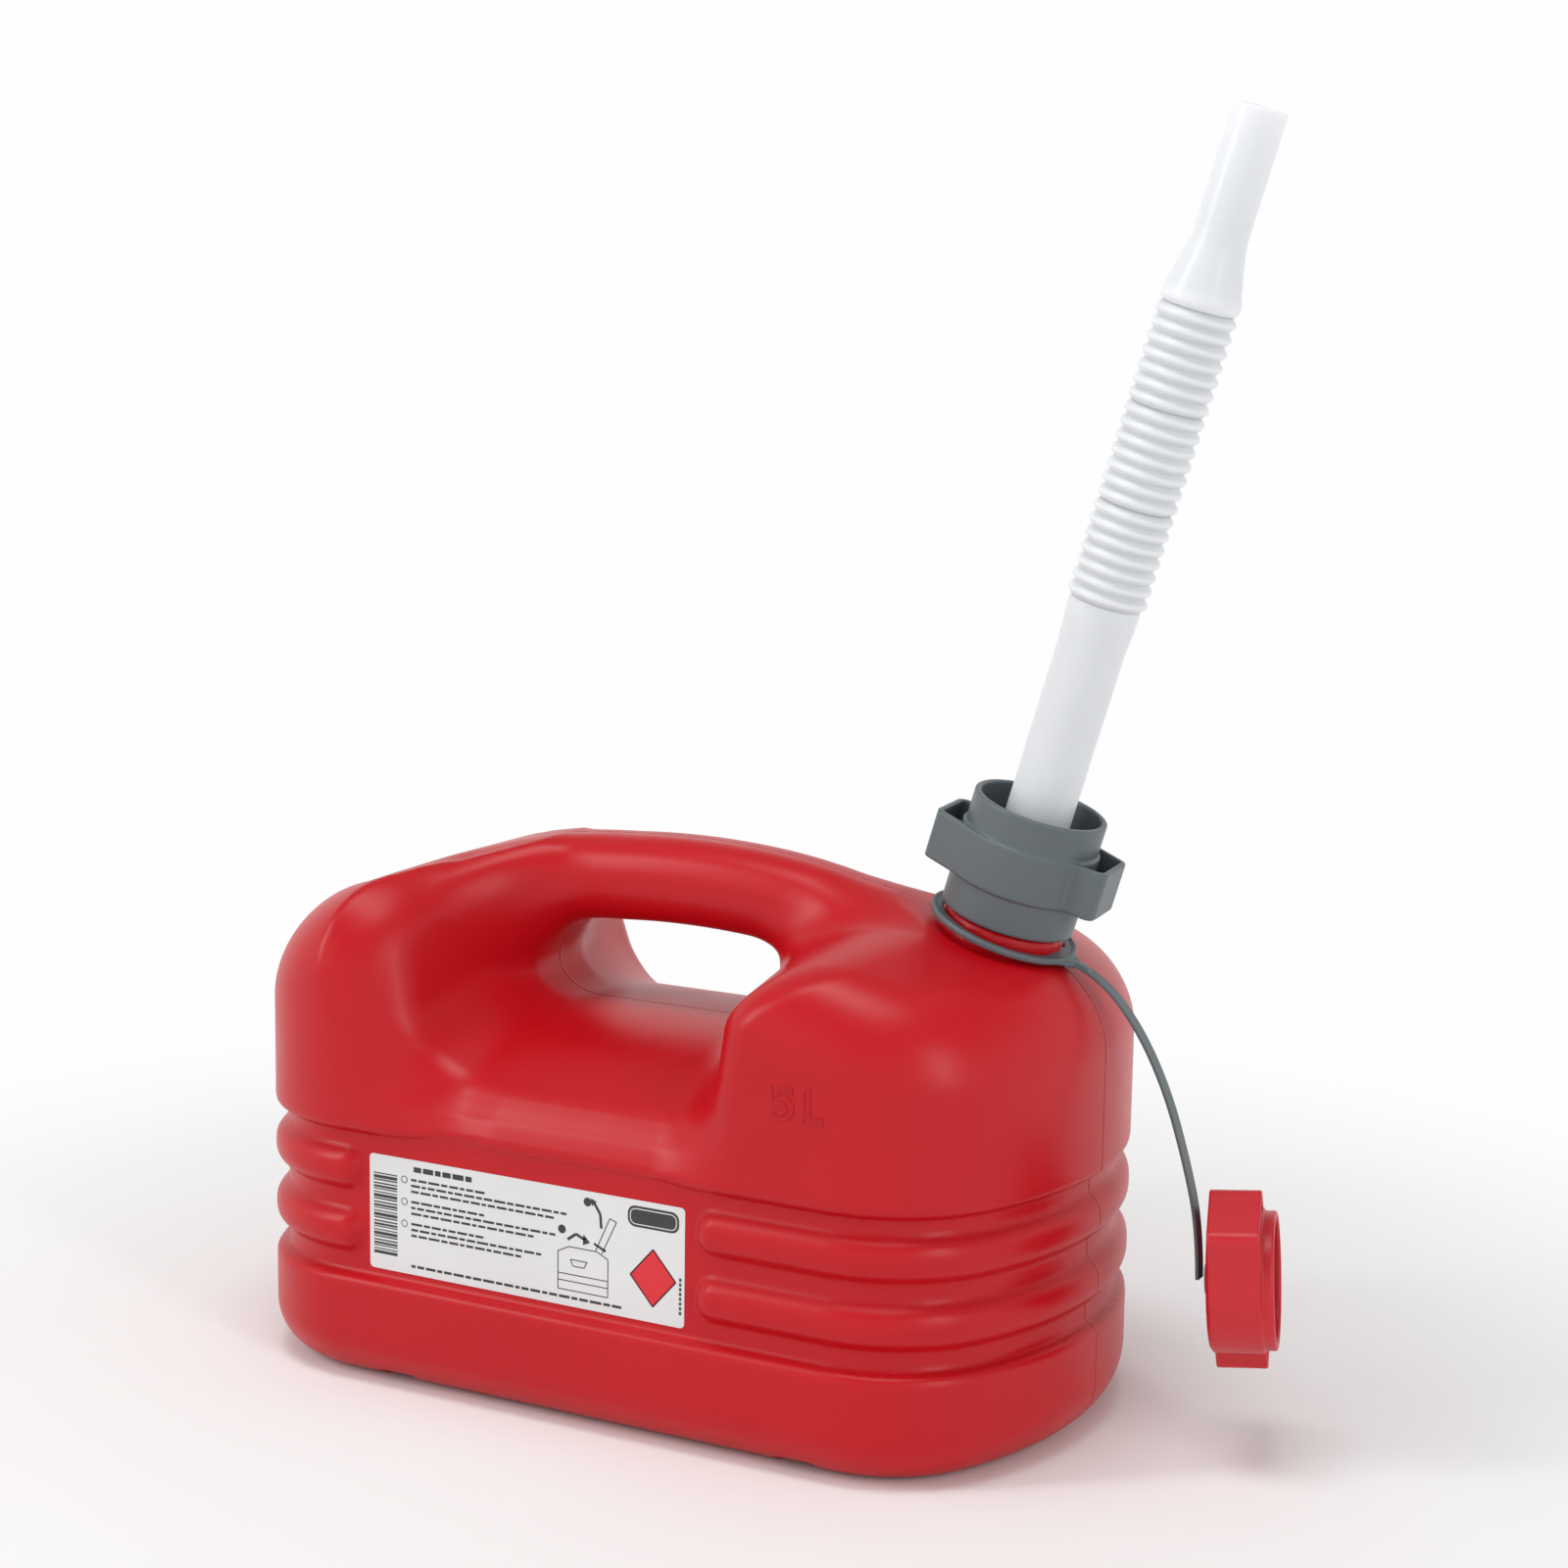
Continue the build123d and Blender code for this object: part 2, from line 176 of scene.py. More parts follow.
# ------------------------------------------------------------------ can body
def plan_field(x, y):
    """Rounded rectangle with bowed ends, seen from above."""
    px = np.abs(x)
    py = np.abs(y)
    bow_x = HALF_LENGTH - BOW_R
    inner_y = HALF_WIDTH - CORNER_R
    inner_bow = BOW_R - CORNER_R
    corner_x = bow_x + math.sqrt(inner_bow**2 - inner_y**2)
    reach = np.hypot(px - bow_x, py)
    within = np.maximum(py - inner_y, reach - inner_bow)
    beside_side = (px <= corner_x) & (py > inner_y)
    beside_bow = py * (corner_x - bow_x) <= inner_y * (px - bow_x)
    outside = np.where(
        beside_side,
        py - inner_y,
        np.where(beside_bow, reach - inner_bow, np.hypot(px - corner_x, py - inner_y)),
    )
    return np.where(within < 0, within, outside) - CORNER_R


# A steepness in these sizes turns a gap along one axis into about the distance from a sloping surface.

# The lower can: a base, a waist set in for the label, and two ribs round each end.
BASE_TOP = 35.5
BASE_R = 17.0
WAIST_SPAN = (25.5, 93.5)
WAIST_INSET = 4.2
RIB_HEIGHTS = (49.5, 70.0)
RIB_HALF = 7.0
RIB_R = 6.0
RIB_ROOT_R = 1.6
RIB_GAP_MIDDLE = -17.5
RIB_GAP_HALF = 61.5
UPPER_BOTTOM = 83.0
STEP_EDGE_R = 3.0
STEP_ROOT_R = 2.0
GROOVE_PLACES = (-69.0, 76.0)
GROOVE_HALF = 6.0
GROOVE_DEPTH = 3.2
GROOVE_R = 1.2

# The roofs: the front one square to the neck and crowned, the rear one a flat slope.
PAD_LEVEL = -7.0
FRONT_CROWN_R = 245.0
FRONT_ROOF_R = 21
REAR_TILT = math.radians(18.0)
REAR_POINT = (-94.0, 157.0)
REAR_LIFT = 1.2
REAR_ROOF_R = 28

# The handle: a bar along a smooth line, wider and deeper towards the rear shoulder.
HANDLE_LINE = ((-100, 140), (-66, 154), (-30, 160.2), (3, 161.5), (36, 159), (66, 152), (92, 141))
HANDLE_FIT = np.polyfit(*np.array(HANDLE_LINE, float).T, 4)
HANDLE_SPAN = (-93, 83)
HANDLE_SINK = 1.7
HANDLE_REAR_LIFT = 1.6
HANDLE_REAR_START = -25
HANDLE_REAR_RUN = 40
HANDLE_HALF_DEPTH = 13.7
HANDLE_HALF_WIDTH = 15.5
HANDLE_STEEPNESS = 0.97
HANDLE_R = 12.5
FLARE_START = -32
FLARE_WIDTH = 0.011
FLARE_DEPTH = 0.006
HANDLE_CROWN_BLEND = 3.0
HANDLE_ROOT_BLEND = 15

# The crest: between the shoulders nothing stands above the handle's own top line.
CREST_SPAN = (-72, 58)
CREST_ABOVE_LINE = 13.6
CREST_RISE = 0.35
CREST_STEEPNESS = 0.95
CREST_R = 5.0

# The hand opening and the scoops beside it.
SCOOP_START = 14
SCOOP_RUN = 62
OPENING_REAR = -56
REAR_SPREAD = 0.18
REAR_LEAN = 0.38
REAR_LEAN_LEVEL = 118
REAR_STEEPNESS = 1.09
OPENING_FRONT = 37.5
FRONT_SPREAD = 0.20
FRONT_LEAN = 0.15
FRONT_LEAN_LEVEL = 125
FRONT_STEEPNESS_SQUARED = 1.08
FRONT_CURVE = 0.05
FRONT_CURVE_START = 132
SCOOP_FLOOR = 117.5
FLOOR_DROP = 25.0
FLOOR_RUN = 80
FLOOR_POWER = 2.6
FLOOR_LIMIT = 95
OPENING_CORNER_R = 10
OPENING_FLOOR_R = 17
# the rim is rounder towards the rear, and rounder still low down
RIM_R = 9
RIM_REAR_GAIN = 12
RIM_REAR_START = -30
RIM_REAR_RUN = 45
RIM_LOW_GAIN = 6
RIM_LOW_START = 112
RIM_LOW_RUN = 14

# The neck's mouth: a bead round its foot and a way down into the front of the hollow.
BEAD_R = 18.9
BEAD_SPAN = (-9.4, -0.6)
BEAD_EDGE_R = 0.8
BEAD_ROOT_R = 1.5
BORE_R = 14.6
BORE_BOTTOM = -14
# only the front of the can is hollow in this shape, as far as the mouth shows it
HOLLOW_INSET = 8
HOLLOW_SPAN = (14, 146)
HOLLOW_R = 14
HOLLOW_REAR = 66
ROOF_WALL = 3
BODY_CELL = 1.6
BODY_MARGIN = 4
BODY_TOP = 184


def handle_height(x):
    """Height of the handle's middle line."""
    return np.polyval(HANDLE_FIT, x)


def along_neck(x, z):
    return (x - NECK_FOOT[0]) * NECK_AXIS[0] + (z - NECK_FOOT[2]) * NECK_AXIS[2]


def across_neck(x, y, z):
    return np.hypot((x - NECK_FOOT[0]) * NECK_X[0] + (z - NECK_FOOT[2]) * NECK_X[2], y)


def front_block(x, y, z, plan):
    """The body's outline under the front roof, with the edge between them rounded."""
    roof = along_neck(x, z) - PAD_LEVEL + y**2 / (2 * FRONT_CROWN_R)
    return round_and(plan, roof, FRONT_ROOF_R)


def upper_field(x, y, z, plan):
    """The can above the waist, without its handle and opening."""
    rear_roof = (z - REAR_POINT[1]) * math.cos(REAR_TILT) - (x - REAR_POINT[0]) * math.sin(REAR_TILT)
    rear_block = round_and(plan, rear_roof - REAR_LIFT, REAR_ROOF_R)
    upper = np.maximum(front_block(x, y, z, plan), rear_block)
    near = np.clip(x, *CREST_SPAN)
    crest = handle_height(near) + CREST_ABOVE_LINE + CREST_RISE * np.abs(x - near)
    upper = round_and(upper, (z - crest) * CREST_STEEPNESS, CREST_R)
    return round_and(upper, UPPER_BOTTOM - z, STEP_EDGE_R)


def closed_field(x, y, z, plan):
    """The whole can without its handle and opening."""
    body = np.maximum(plan + WAIST_INSET, between(z, *WAIST_SPAN))
    for height in RIB_HEIGHTS:
        rib = round_and(plan, np.abs(z - height) - RIB_HALF, RIB_R)
        rib = round_and(rib, RIB_GAP_HALF - np.abs(x - RIB_GAP_MIDDLE), RIB_R)
        body = round_or(body, rib, RIB_ROOT_R)
    base = round_and(round_and(plan, -z, BASE_R), z - BASE_TOP, STEP_EDGE_R)
    body = round_or(body, base, STEP_ROOT_R)
    body = round_or(body, upper_field(x, y, z, plan), STEP_ROOT_R)
    for place in GROOVE_PLACES:
        groove = np.maximum(np.abs(x - place) - GROOVE_HALF, z - GROOVE_DEPTH)
        body = round_and(body, -groove, GROOVE_R)
    return body


def opening_field(x, y, z):
    """The hand opening and the scoops beside it, negative inside."""
    out = np.abs(y)
    side = np.maximum(out - SCOOP_START, 0)
    lean = side / SCOOP_RUN
    high = np.maximum(z - FRONT_CURVE_START, 0)
    rear = OPENING_REAR - REAR_SPREAD * side - REAR_LEAN * lean * (z - REAR_LEAN_LEVEL)
    front = OPENING_FRONT + FRONT_SPREAD * side + FRONT_LEAN * lean * (z - FRONT_LEAN_LEVEL)
    front = front + FRONT_CURVE * high**2
    rear_gap = (rear - x) / REAR_STEEPNESS
    front_gap = (x - front) / np.sqrt(FRONT_STEEPNESS_SQUARED + (2 * FRONT_CURVE * high) ** 2)
    share = np.minimum(out, FLOOR_LIMIT) / FLOOR_RUN
    floor = SCOOP_FLOOR - FLOOR_DROP * share**FLOOR_POWER
    slope = FLOOR_DROP * FLOOR_POWER / FLOOR_RUN * share ** (FLOOR_POWER - 1)
    floor_gap = (floor - z) / np.sqrt(1 + slope**2)
    sides = round_and(rear_gap, front_gap, OPENING_CORNER_R)
    return round_and(sides, floor_gap, OPENING_FLOOR_R)


def handle_field(x, y, z):
    """The handle's bar."""
    rear = np.maximum(FLARE_START - x, 0)
    lift = np.clip((HANDLE_REAR_START - x) / HANDLE_REAR_RUN, 0, 1)
    middle = handle_height(x) - HANDLE_SINK + HANDLE_REAR_LIFT * lift
    above = (z - middle) * HANDLE_STEEPNESS - HANDLE_HALF_DEPTH
    below = (middle - z) * HANDLE_STEEPNESS - HANDLE_HALF_DEPTH - FLARE_DEPTH * rear**2
    half_width = HANDLE_HALF_WIDTH + FLARE_WIDTH * rear**2
    slope = np.sqrt(1 + (2 * FLARE_WIDTH * rear) ** 2)
    bar = round_and((np.abs(y) - half_width) / slope, np.maximum(above, below / slope), HANDLE_R)
    return np.maximum(bar, between(x, *HANDLE_SPAN))


def body_field(x, y, z):
    plan = plan_field(x, y)
    body = closed_field(x, y, z, plan)
    bar = handle_field(x, y, z)
    # the handle flows into both shoulders, but nothing stands above the closed shape
    closed = round_or(body, bar, HANDLE_CROWN_BLEND)
    rim = RIM_R + RIM_REAR_GAIN * np.clip((RIM_REAR_START - x) / RIM_REAR_RUN, 0, 1)
    rim = rim + RIM_LOW_GAIN * np.clip((RIM_LOW_START - z) / RIM_LOW_RUN, 0, 1)
    body = round_and(body, -opening_field(x, y, z), rim)
    body = np.maximum(round_or(body, bar, HANDLE_ROOT_BLEND), closed)
    along = along_neck(x, z)
    across = across_neck(x, y, z)
    bead = round_and(across - BEAD_R, between(along, *BEAD_SPAN), BEAD_EDGE_R)
    body = round_or(body, bead, BEAD_ROOT_R)
    bore = np.maximum(across - BORE_R, BORE_BOTTOM - along)
    hollow = round_and(plan + HOLLOW_INSET, between(z, *HOLLOW_SPAN), HOLLOW_R)
    hollow = np.maximum(np.maximum(hollow, HOLLOW_REAR - x), front_block(x, y, z, plan) + ROOF_WALL)
    return np.maximum(body, -np.minimum(bore, hollow))


def make_body(material):
    half_length = HALF_LENGTH + BODY_MARGIN
    half_width = HALF_WIDTH + BODY_MARGIN
    low = (-half_length, -half_width, -BODY_MARGIN)
    high = (half_length, half_width, BODY_TOP)
    shell = field_object("can_shell", body_field, low, high, BODY_CELL)
    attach(shell, "can")
    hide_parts("can_body")
    paint(shell, material)


# ------------------------------------------------------------------ turned pieces
def neck_points(points):
    """From a piece's own axes, with its axis along Z, to the neck's."""
    side = np.array([0.0, 1.0, 0.0])
    return NECK_FOOT + np.outer(points[:, 0], NECK_X) + np.outer(points[:, 1], side) + np.outer(
        points[:, 2], NECK_AXIS
    )


def cap_points(points):
    """From a piece's own axes to the hanging cap's: own X points up, own Z along the cap's axis."""
    side = np.cross(CAP_AXIS, CAP_UP)
    return CAP_CENTRE + np.outer(points[:, 0], CAP_UP) + np.outer(points[:, 1], side) + np.outer(
        points[:, 2], CAP_AXIS
    )


def turned(name, profile, place, segments=96):
    """A mesh turned about its own Z from a closed outline of (radius, height) points."""
    profile = np.array(profile, float)
    count = len(profile)
    angles = np.arange(segments) * 2 * math.pi / segments
    rings = [
        np.column_stack([r * np.cos(angles), r * np.sin(angles), np.full(segments, h)])
        for r, h in profile
    ]
    faces = []
    for i in range(count):
        j = (i + 1) % count
        for k in range(segments):
            m = (k + 1) % segments
            faces.append((i * segments + k, i * segments + m, j * segments + m, j * segments + k))
    return mesh_object(name, place(np.concatenate(rings)) * MM, faces)


CORNER_STEPS = 5
CORNER_SHARE = 0.45


def rounded(points, radius):
    """A closed outline of (radius, height) points with every corner rounded."""
    points = np.array(points, float)
    made = []
    count = len(points)
    for i in range(count):
        before, here, after = points[i - 1], points[i], points[(i + 1) % count]
        u = before - here
        v = after - here
        nu, nv = np.linalg.norm(u), np.linalg.norm(v)
        cut = min(radius, CORNER_SHARE * nu, CORNER_SHARE * nv)
        a = here + u / nu * cut
        b = here + v / nv * cut
        for t in np.linspace(0, 1, CORNER_STEPS):
            made.append((1 - t) ** 2 * a + 2 * t * (1 - t) * here + t * t * b)
    return made


def convex_field(x, y, corners):
    """Distance outside a convex polygon given anticlockwise; the greatest side distance within it."""
    within = None
    edge = None
    for here, after in zip(corners, corners[1:] + corners[:1]):
        run = np.array(after) - np.array(here)
        dx, dy = x - here[0], y - here[1]
        length = math.hypot(*run)
        side = (dx * run[1] - dy * run[0]) / length
        share = np.clip((dx * run[0] + dy * run[1]) / length**2, 0, 1)
        reach = np.hypot(dx - share * run[0], dy - share * run[1])
        within = side if within is None else np.maximum(within, side)
        edge = reach if edge is None else np.minimum(edge, reach)
    return np.where(within < 0, within, edge)


# ---- what the collar and the cap share: a shell, a grip band with two ears, and a thread ----
SHELL_R = 20.8
SHELL_BORE_R = 18.7
GRIP_R = 21.7
# a tip's corners, and the foot of its tangent wall on the ring, all drawn in by the tip's radius
EAR_CORNERS = [(6.0, -8.0), (24.8, -8.0), (24.8, 8.0), (7.0, 16.65)]
EAR_TIP_R = 3.6
EAR_WALL = 1.8
EAR_ROOT_R = 1.0
GRIP_EDGE_R = 0.5
GAP_EDGE_R = 0.4
THREAD_WALL_R = 18.9
THREAD_ROOT_R = 19.6
THREAD_DEPTH = 1.3
THREAD_PITCH = 4.0
THREAD_TURNS = 3
# the ridge leans on both flanks: shares of the distance along and across it, and of its depth
FLANK_SHARE = 0.8
CREST_SHARE = 0.6
DEPTH_SHARE = 0.75

COLLAR_EAR_ANGLE = math.radians(5.0)
COLLAR_SPAN = (0.0, 36.5)
COLLAR_EDGE_R = 0.6
COLLAR_BAND = (11.0, 26.3)
COLLAR_GAP = (6.65, 30.65)
FLANGE_UNDERSIDE = 18.3
FLANGE_TOP = 21.0
UPPER_BORE_R = 18.9
FLANGE_HOLE_R = 10.9
FLANGE_HOLE_SPAN = (13, 25)
FLANGE_EDGE_R = 0.3
BORE_EDGE_R = 0.4
COLLAR_THREAD_START = 4.5
COLLAR_THREAD_SPAN = (3, 14)

CAP_EAR_ANGLE = math.radians(29.0)
CAP_SPAN = (0, 20)
CAP_EDGE_R = 0.8
CAP_BAND = (0.8, 16.3)
CAP_GAP = (-3.5, 20.5)
CAP_FLOOR = 2.4
CAP_MOUTH_R = 0.5
DISH_R = 17.5
DISH_DEPTH = 0.5
DISH_EDGE_R = 0.3
BUTTON_HOLE_R = 2.48
BUTTON_HOLE_TOP = 6
CAP_THREAD_START = 7.4
CAP_THREAD_SPAN = (6, 17)

EARED_CELL = 0.6
EARED_REACH = 31
EARED_MARGIN = 1.5


def eared_field(x, y, angle):
    """Grip band from above: a round ring with two broad ears, and the ears' finger gaps. An ear
    leaves the ring tangentially on one side and comes straight back to it on the other."""
    u = x * math.cos(angle) + y * math.sin(angle)
    v = -x * math.sin(angle) + y * math.cos(angle)
    ring = np.hypot(u, v) - GRIP_R
    ears = [convex_field(u * turn, v * turn, EAR_CORNERS) - EAR_TIP_R for turn in (1, -1)]
    shape = ring
    for ear in ears:
        shape = round_or(shape, ear, EAR_ROOT_R)
    gaps = [round_and(ear + EAR_WALL, GRIP_R - np.hypot(u, v), EAR_ROOT_R) for ear in ears]
    return shape, np.minimum(*gaps)


def thread_field(x, y, z, start, span):
    """A helical ridge standing in from the bore's wall."""
    r = np.hypot(x, y)
    phase = (z - start) / THREAD_PITCH - np.arctan2(y, x) / (2 * math.pi)
    nearest = np.clip(np.round(phase), 0, THREAD_TURNS - 1)
    off = (phase - nearest) * THREAD_PITCH
    ridge = np.abs(off) * FLANK_SHARE + (THREAD_WALL_R - r) * CREST_SHARE - THREAD_DEPTH * DEPTH_SHARE
    return np.maximum(np.maximum(ridge, r - THREAD_ROOT_R), between(z, *span))


def collar_field(x, y, z):
    r = np.hypot(x, y)
    band_xy, gap_xy = eared_field(x, y, COLLAR_EAR_ANGLE)
    skirt = round_and(r - SHELL_R, between(z, *COLLAR_SPAN), COLLAR_EDGE_R)
    band = round_and(band_xy, between(z, *COLLAR_BAND), GRIP_EDGE_R)
    body = round_or(skirt, band, GRIP_EDGE_R)
    body = round_and(body, -np.maximum(gap_xy, between(z, *COLLAR_GAP)), GAP_EDGE_R)
    low = np.maximum(r - SHELL_BORE_R, z - FLANGE_UNDERSIDE)
    high = np.maximum(r - UPPER_BORE_R, FLANGE_TOP - z)
    hole = np.maximum(r - FLANGE_HOLE_R, between(z, *FLANGE_HOLE_SPAN))
    body = round_and(body, -low, BORE_EDGE_R)
    body = round_and(body, -high, BORE_EDGE_R)
    body = round_and(body, -hole, FLANGE_EDGE_R)
    return np.minimum(body, thread_field(x, y, z, COLLAR_THREAD_START, COLLAR_THREAD_SPAN))


def cap_field(x, y, z):
    r = np.hypot(x, y)
    band_xy, gap_xy = eared_field(x, y, CAP_EAR_ANGLE)
    shell = round_and(r - SHELL_R, between(z, *CAP_SPAN), CAP_EDGE_R)
    band = round_and(band_xy, between(z, *CAP_BAND), GRIP_EDGE_R)
    body = round_or(shell, band, GRIP_EDGE_R)
    body = round_and(body, -np.maximum(gap_xy, between(z, *CAP_GAP)), GAP_EDGE_R)
    body = round_and(body, -np.maximum(r - SHELL_BORE_R, CAP_FLOOR - z), CAP_MOUTH_R)
    dish = round_and(r - DISH_R, z - DISH_DEPTH, DISH_EDGE_R)
    body = round_and(body, -dish, DISH_EDGE_R)
    body = np.maximum(body, -np.maximum(r - BUTTON_HOLE_R, z - BUTTON_HOLE_TOP))
    return np.minimum(body, thread_field(x, y, z, CAP_THREAD_START, CAP_THREAD_SPAN))


def eared_object(name, field, top, place):
    """A collar or cap, made in its own axes and put in its place."""
    low = (-EARED_REACH, -EARED_REACH, -EARED_MARGIN)
    high = (EARED_REACH, EARED_REACH, top + EARED_MARGIN)
    return field_object(name, field, low, high, EARED_CELL, place)


def make_collar(material):
    collar = eared_object("collar_with_ears", collar_field, COLLAR_SPAN[1], neck_points)
    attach(collar, "collar")
    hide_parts("union_collar")
    paint(collar, material)


def make_cap(material):
    cap = eared_object("cap_with_ears", cap_field, CAP_SPAN[1], cap_points)
    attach(cap, "cap")
    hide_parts("screw_cap")
    paint(cap, material)
    return cap


# ------------------------------------------------------------------ materials
def new_material(name):
    material = bpy.data.materials.new(name)
    material.use_nodes = True
    nodes = material.node_tree.nodes
    shader = nodes["Principled BSDF"]
    return material, nodes, material.node_tree.links, shader


# How plastics vary: patches of colour and gloss, fine grain, depth of a soft white, and the mould's seam.
MOTTLE_SCALE = 14.0
MOTTLE_DETAIL = 3.0
MOTTLE_RANGE = (0.3, 0.7)
GLOSS_SCALE = 38.0
GLOSS_DETAIL = 4.0
GLOSS_RANGE = (-0.05, 0.06)
GRAIN_DETAIL = 2.0
GRAIN_STRENGTH = 0.25
SUBSURFACE_RADIUS = (0.012, 0.01, 0.01)
SUBSURFACE_SCALE = 0.4
SEAM_HALF_WIDTH = 0.0007
SEAM_HEIGHT = 0.0005


def noise(nodes, links, scale, detail):
    coords = nodes.new("ShaderNodeTexCoord")
    texture = nodes.new("ShaderNodeTexNoise")
    texture.inputs["Scale"].default_value = scale
    texture.inputs["Detail"].default_value = detail
    links.new(coords.outputs["Object"], texture.inputs["Vector"])
    return texture


def two_tone(nodes, links, source, dark, light):
    """Runs from dark to light as the source goes over the mottle's range."""
    ramp = nodes.new("ShaderNodeValToRGB")
    for element, position, colour in zip(ramp.color_ramp.elements, MOTTLE_RANGE, (dark, light)):
        element.position = position
        element.color = (*colour, 1)
    links.new(source, ramp.inputs["Fac"])
    return ramp


def plastic(
    name, dark, light, rough, grain=900.0, grain_depth=0.00002, specular=0.5, seam=False, subsurface=0.0
):
    """Moulded plastic: slight mottling in colour and gloss, and a fine moulded grain."""
    material, nodes, links, shader = new_material(name)
    mottle = noise(nodes, links, MOTTLE_SCALE, MOTTLE_DETAIL)
    colours = two_tone(nodes, links, mottle.outputs["Fac"], dark, light)
    links.new(colours.outputs["Color"], shader.inputs["Base Color"])
    patches = noise(nodes, links, GLOSS_SCALE, GLOSS_DETAIL)
    gloss = nodes.new("ShaderNodeMapRange")
    gloss.inputs["To Min"].default_value = rough + GLOSS_RANGE[0]
    gloss.inputs["To Max"].default_value = rough + GLOSS_RANGE[1]
    links.new(patches.outputs["Fac"], gloss.inputs["Value"])
    links.new(gloss.outputs["Result"], shader.inputs["Roughness"])
    shader.inputs["Specular IOR Level"].default_value = specular
    if subsurface:
        shader.inputs["Subsurface Weight"].default_value = subsurface
        shader.inputs["Subsurface Radius"].default_value = SUBSURFACE_RADIUS
        shader.inputs["Subsurface Scale"].default_value = SUBSURFACE_SCALE
    fine = noise(nodes, links, grain, GRAIN_DETAIL)
    bump = nodes.new("ShaderNodeBump")
    bump.inputs["Strength"].default_value = GRAIN_STRENGTH
    bump.inputs["Distance"].default_value = grain_depth
    links.new(fine.outputs["Fac"], bump.inputs["Height"])
    normal = bump.outputs["Normal"]
    if seam:
        normal = seam_bump(nodes, links, normal)
    links.new(normal, shader.inputs["Normal"])
    return material


def seam_bump(nodes, links, normal):
    """The mould's parting line: a fine ridge in the can's middle plane."""
    coords = nodes.new("ShaderNodeTexCoord")
    split = nodes.new("ShaderNodeSeparateXYZ")
    links.new(coords.outputs["Object"], split.inputs["Vector"])
    away = nodes.new("ShaderNodeMath")
    away.operation = "ABSOLUTE"
    links.new(split.outputs["Y"], away.inputs[0])
    ridge = nodes.new("ShaderNodeMapRange")
    ridge.interpolation_type = "SMOOTHSTEP"
    ridge.inputs["From Max"].default_value = SEAM_HALF_WIDTH
    ridge.inputs["To Min"].default_value = 1.0
    ridge.inputs["To Max"].default_value = 0.0
    links.new(away.outputs["Value"], ridge.inputs["Value"])
    bump = nodes.new("ShaderNodeBump")
    bump.inputs["Strength"].default_value = 1.0
    bump.inputs["Distance"].default_value = SEAM_HEIGHT
    links.new(ridge.outputs["Result"], bump.inputs["Height"])
    links.new(normal, bump.inputs["Normal"])
    return bump.outputs["Normal"]


def make_materials():
    return {
        "can": plastic(
            "can_red_polyethylene", (0.455, 0.002, 0.006), (0.49, 0.003, 0.008), 0.34,
            grain=1500.0, grain_depth=0.00003, seam=True, specular=0.3,
        ),
        "cap": plastic(
            "cap_red_polyethylene", (0.50, 0.007, 0.014), (0.545, 0.010, 0.018), 0.38, specular=0.45
        ),
        "grey": plastic("collar_grey_polyethylene", (0.085, 0.105, 0.115), (0.10, 0.122, 0.132), 0.42),
        "white": plastic(
            "spout_natural_polyethylene", (0.72, 0.72, 0.755), (0.76, 0.76, 0.795), 0.32, subsurface=0.7
        ),
        "rubber": plastic("seal_rubber", (0.018, 0.018, 0.018), (0.03, 0.03, 0.03), 0.6),
        "paper": plastic(
            "label_paper", (0.66, 0.66, 0.66), (0.70, 0.70, 0.70), 0.45, grain=3000.0, grain_depth=0.00001
        ),
        "ink": plastic("label_ink_dark", (0.02, 0.02, 0.02), (0.035, 0.035, 0.035), 0.5),
        "red_ink": plastic("label_ink_red", (0.60, 0.012, 0.02), (0.66, 0.016, 0.024), 0.5),
    }


def paint(obj, material):
    obj.data.materials.clear()
    obj.data.materials.append(material)


# ------------------------------------------------------------------ spout
# Three sections of folds stand on the foot tube. Heights are along the neck's axis.
FOLDS_BOTTOM = 102.0
SECTION_LENGTH = 30.0
FOLDS_PER_SECTION = 7
FOLD_STEPS = 12
FOLD_ROOT_R = 10.7
FOLD_DEPTH = 1.5
FOLD_SHARPNESS = 0.75
FOLD_WALL = 1.2
SECTIONS = ("bellows_low", "bellows_mid", "bellows_high")
FOLDS_TOP = FOLDS_BOTTOM + len(SECTIONS) * SECTION_LENGTH
SPOUT_TOP = 251.0
SPOUT_TUBE_R = 10.2
SPOUT_BORE_R = 9.0
SPOUT_FLANGE_R = 17.5
SPOUT_FLANGE = (16.0, 18.1)
TIP_R = 8.05
TIP_BORE_R = 6.85
FOOT_TUBE_EDGE_R = 0.7
TIP_TUBE_EDGE_R = 0.8
FOOT_TUBE_OUTLINE = (
    (SPOUT_BORE_R, SPOUT_FLANGE[0]), (SPOUT_FLANGE_R, SPOUT_FLANGE[0]), (SPOUT_FLANGE_R, SPOUT_FLANGE[1]),
    (SPOUT_TUBE_R, SPOUT_FLANGE[1]), (SPOUT_TUBE_R, 60), (10.25, 88), (10.9, 98), (10.95, 100.4),
    (FOLD_ROOT_R, FOLDS_BOTTOM), (9.5, FOLDS_BOTTOM), (9.7, 98), (9.05, 88), (SPOUT_BORE_R, 60),
)
TIP_TUBE_OUTLINE = (
    (FOLD_ROOT_R, FOLDS_TOP), (12.0, 193.6), (11.9, 195.6), (11.3, 197.4), (8.4, 210.2), (TIP_R, 214),
    (TIP_R, SPOUT_TOP), (TIP_BORE_R, SPOUT_TOP), (TIP_BORE_R, 214), (7.2, 210), (10.1, 197.2),
    (9.5, FOLDS_TOP),
)


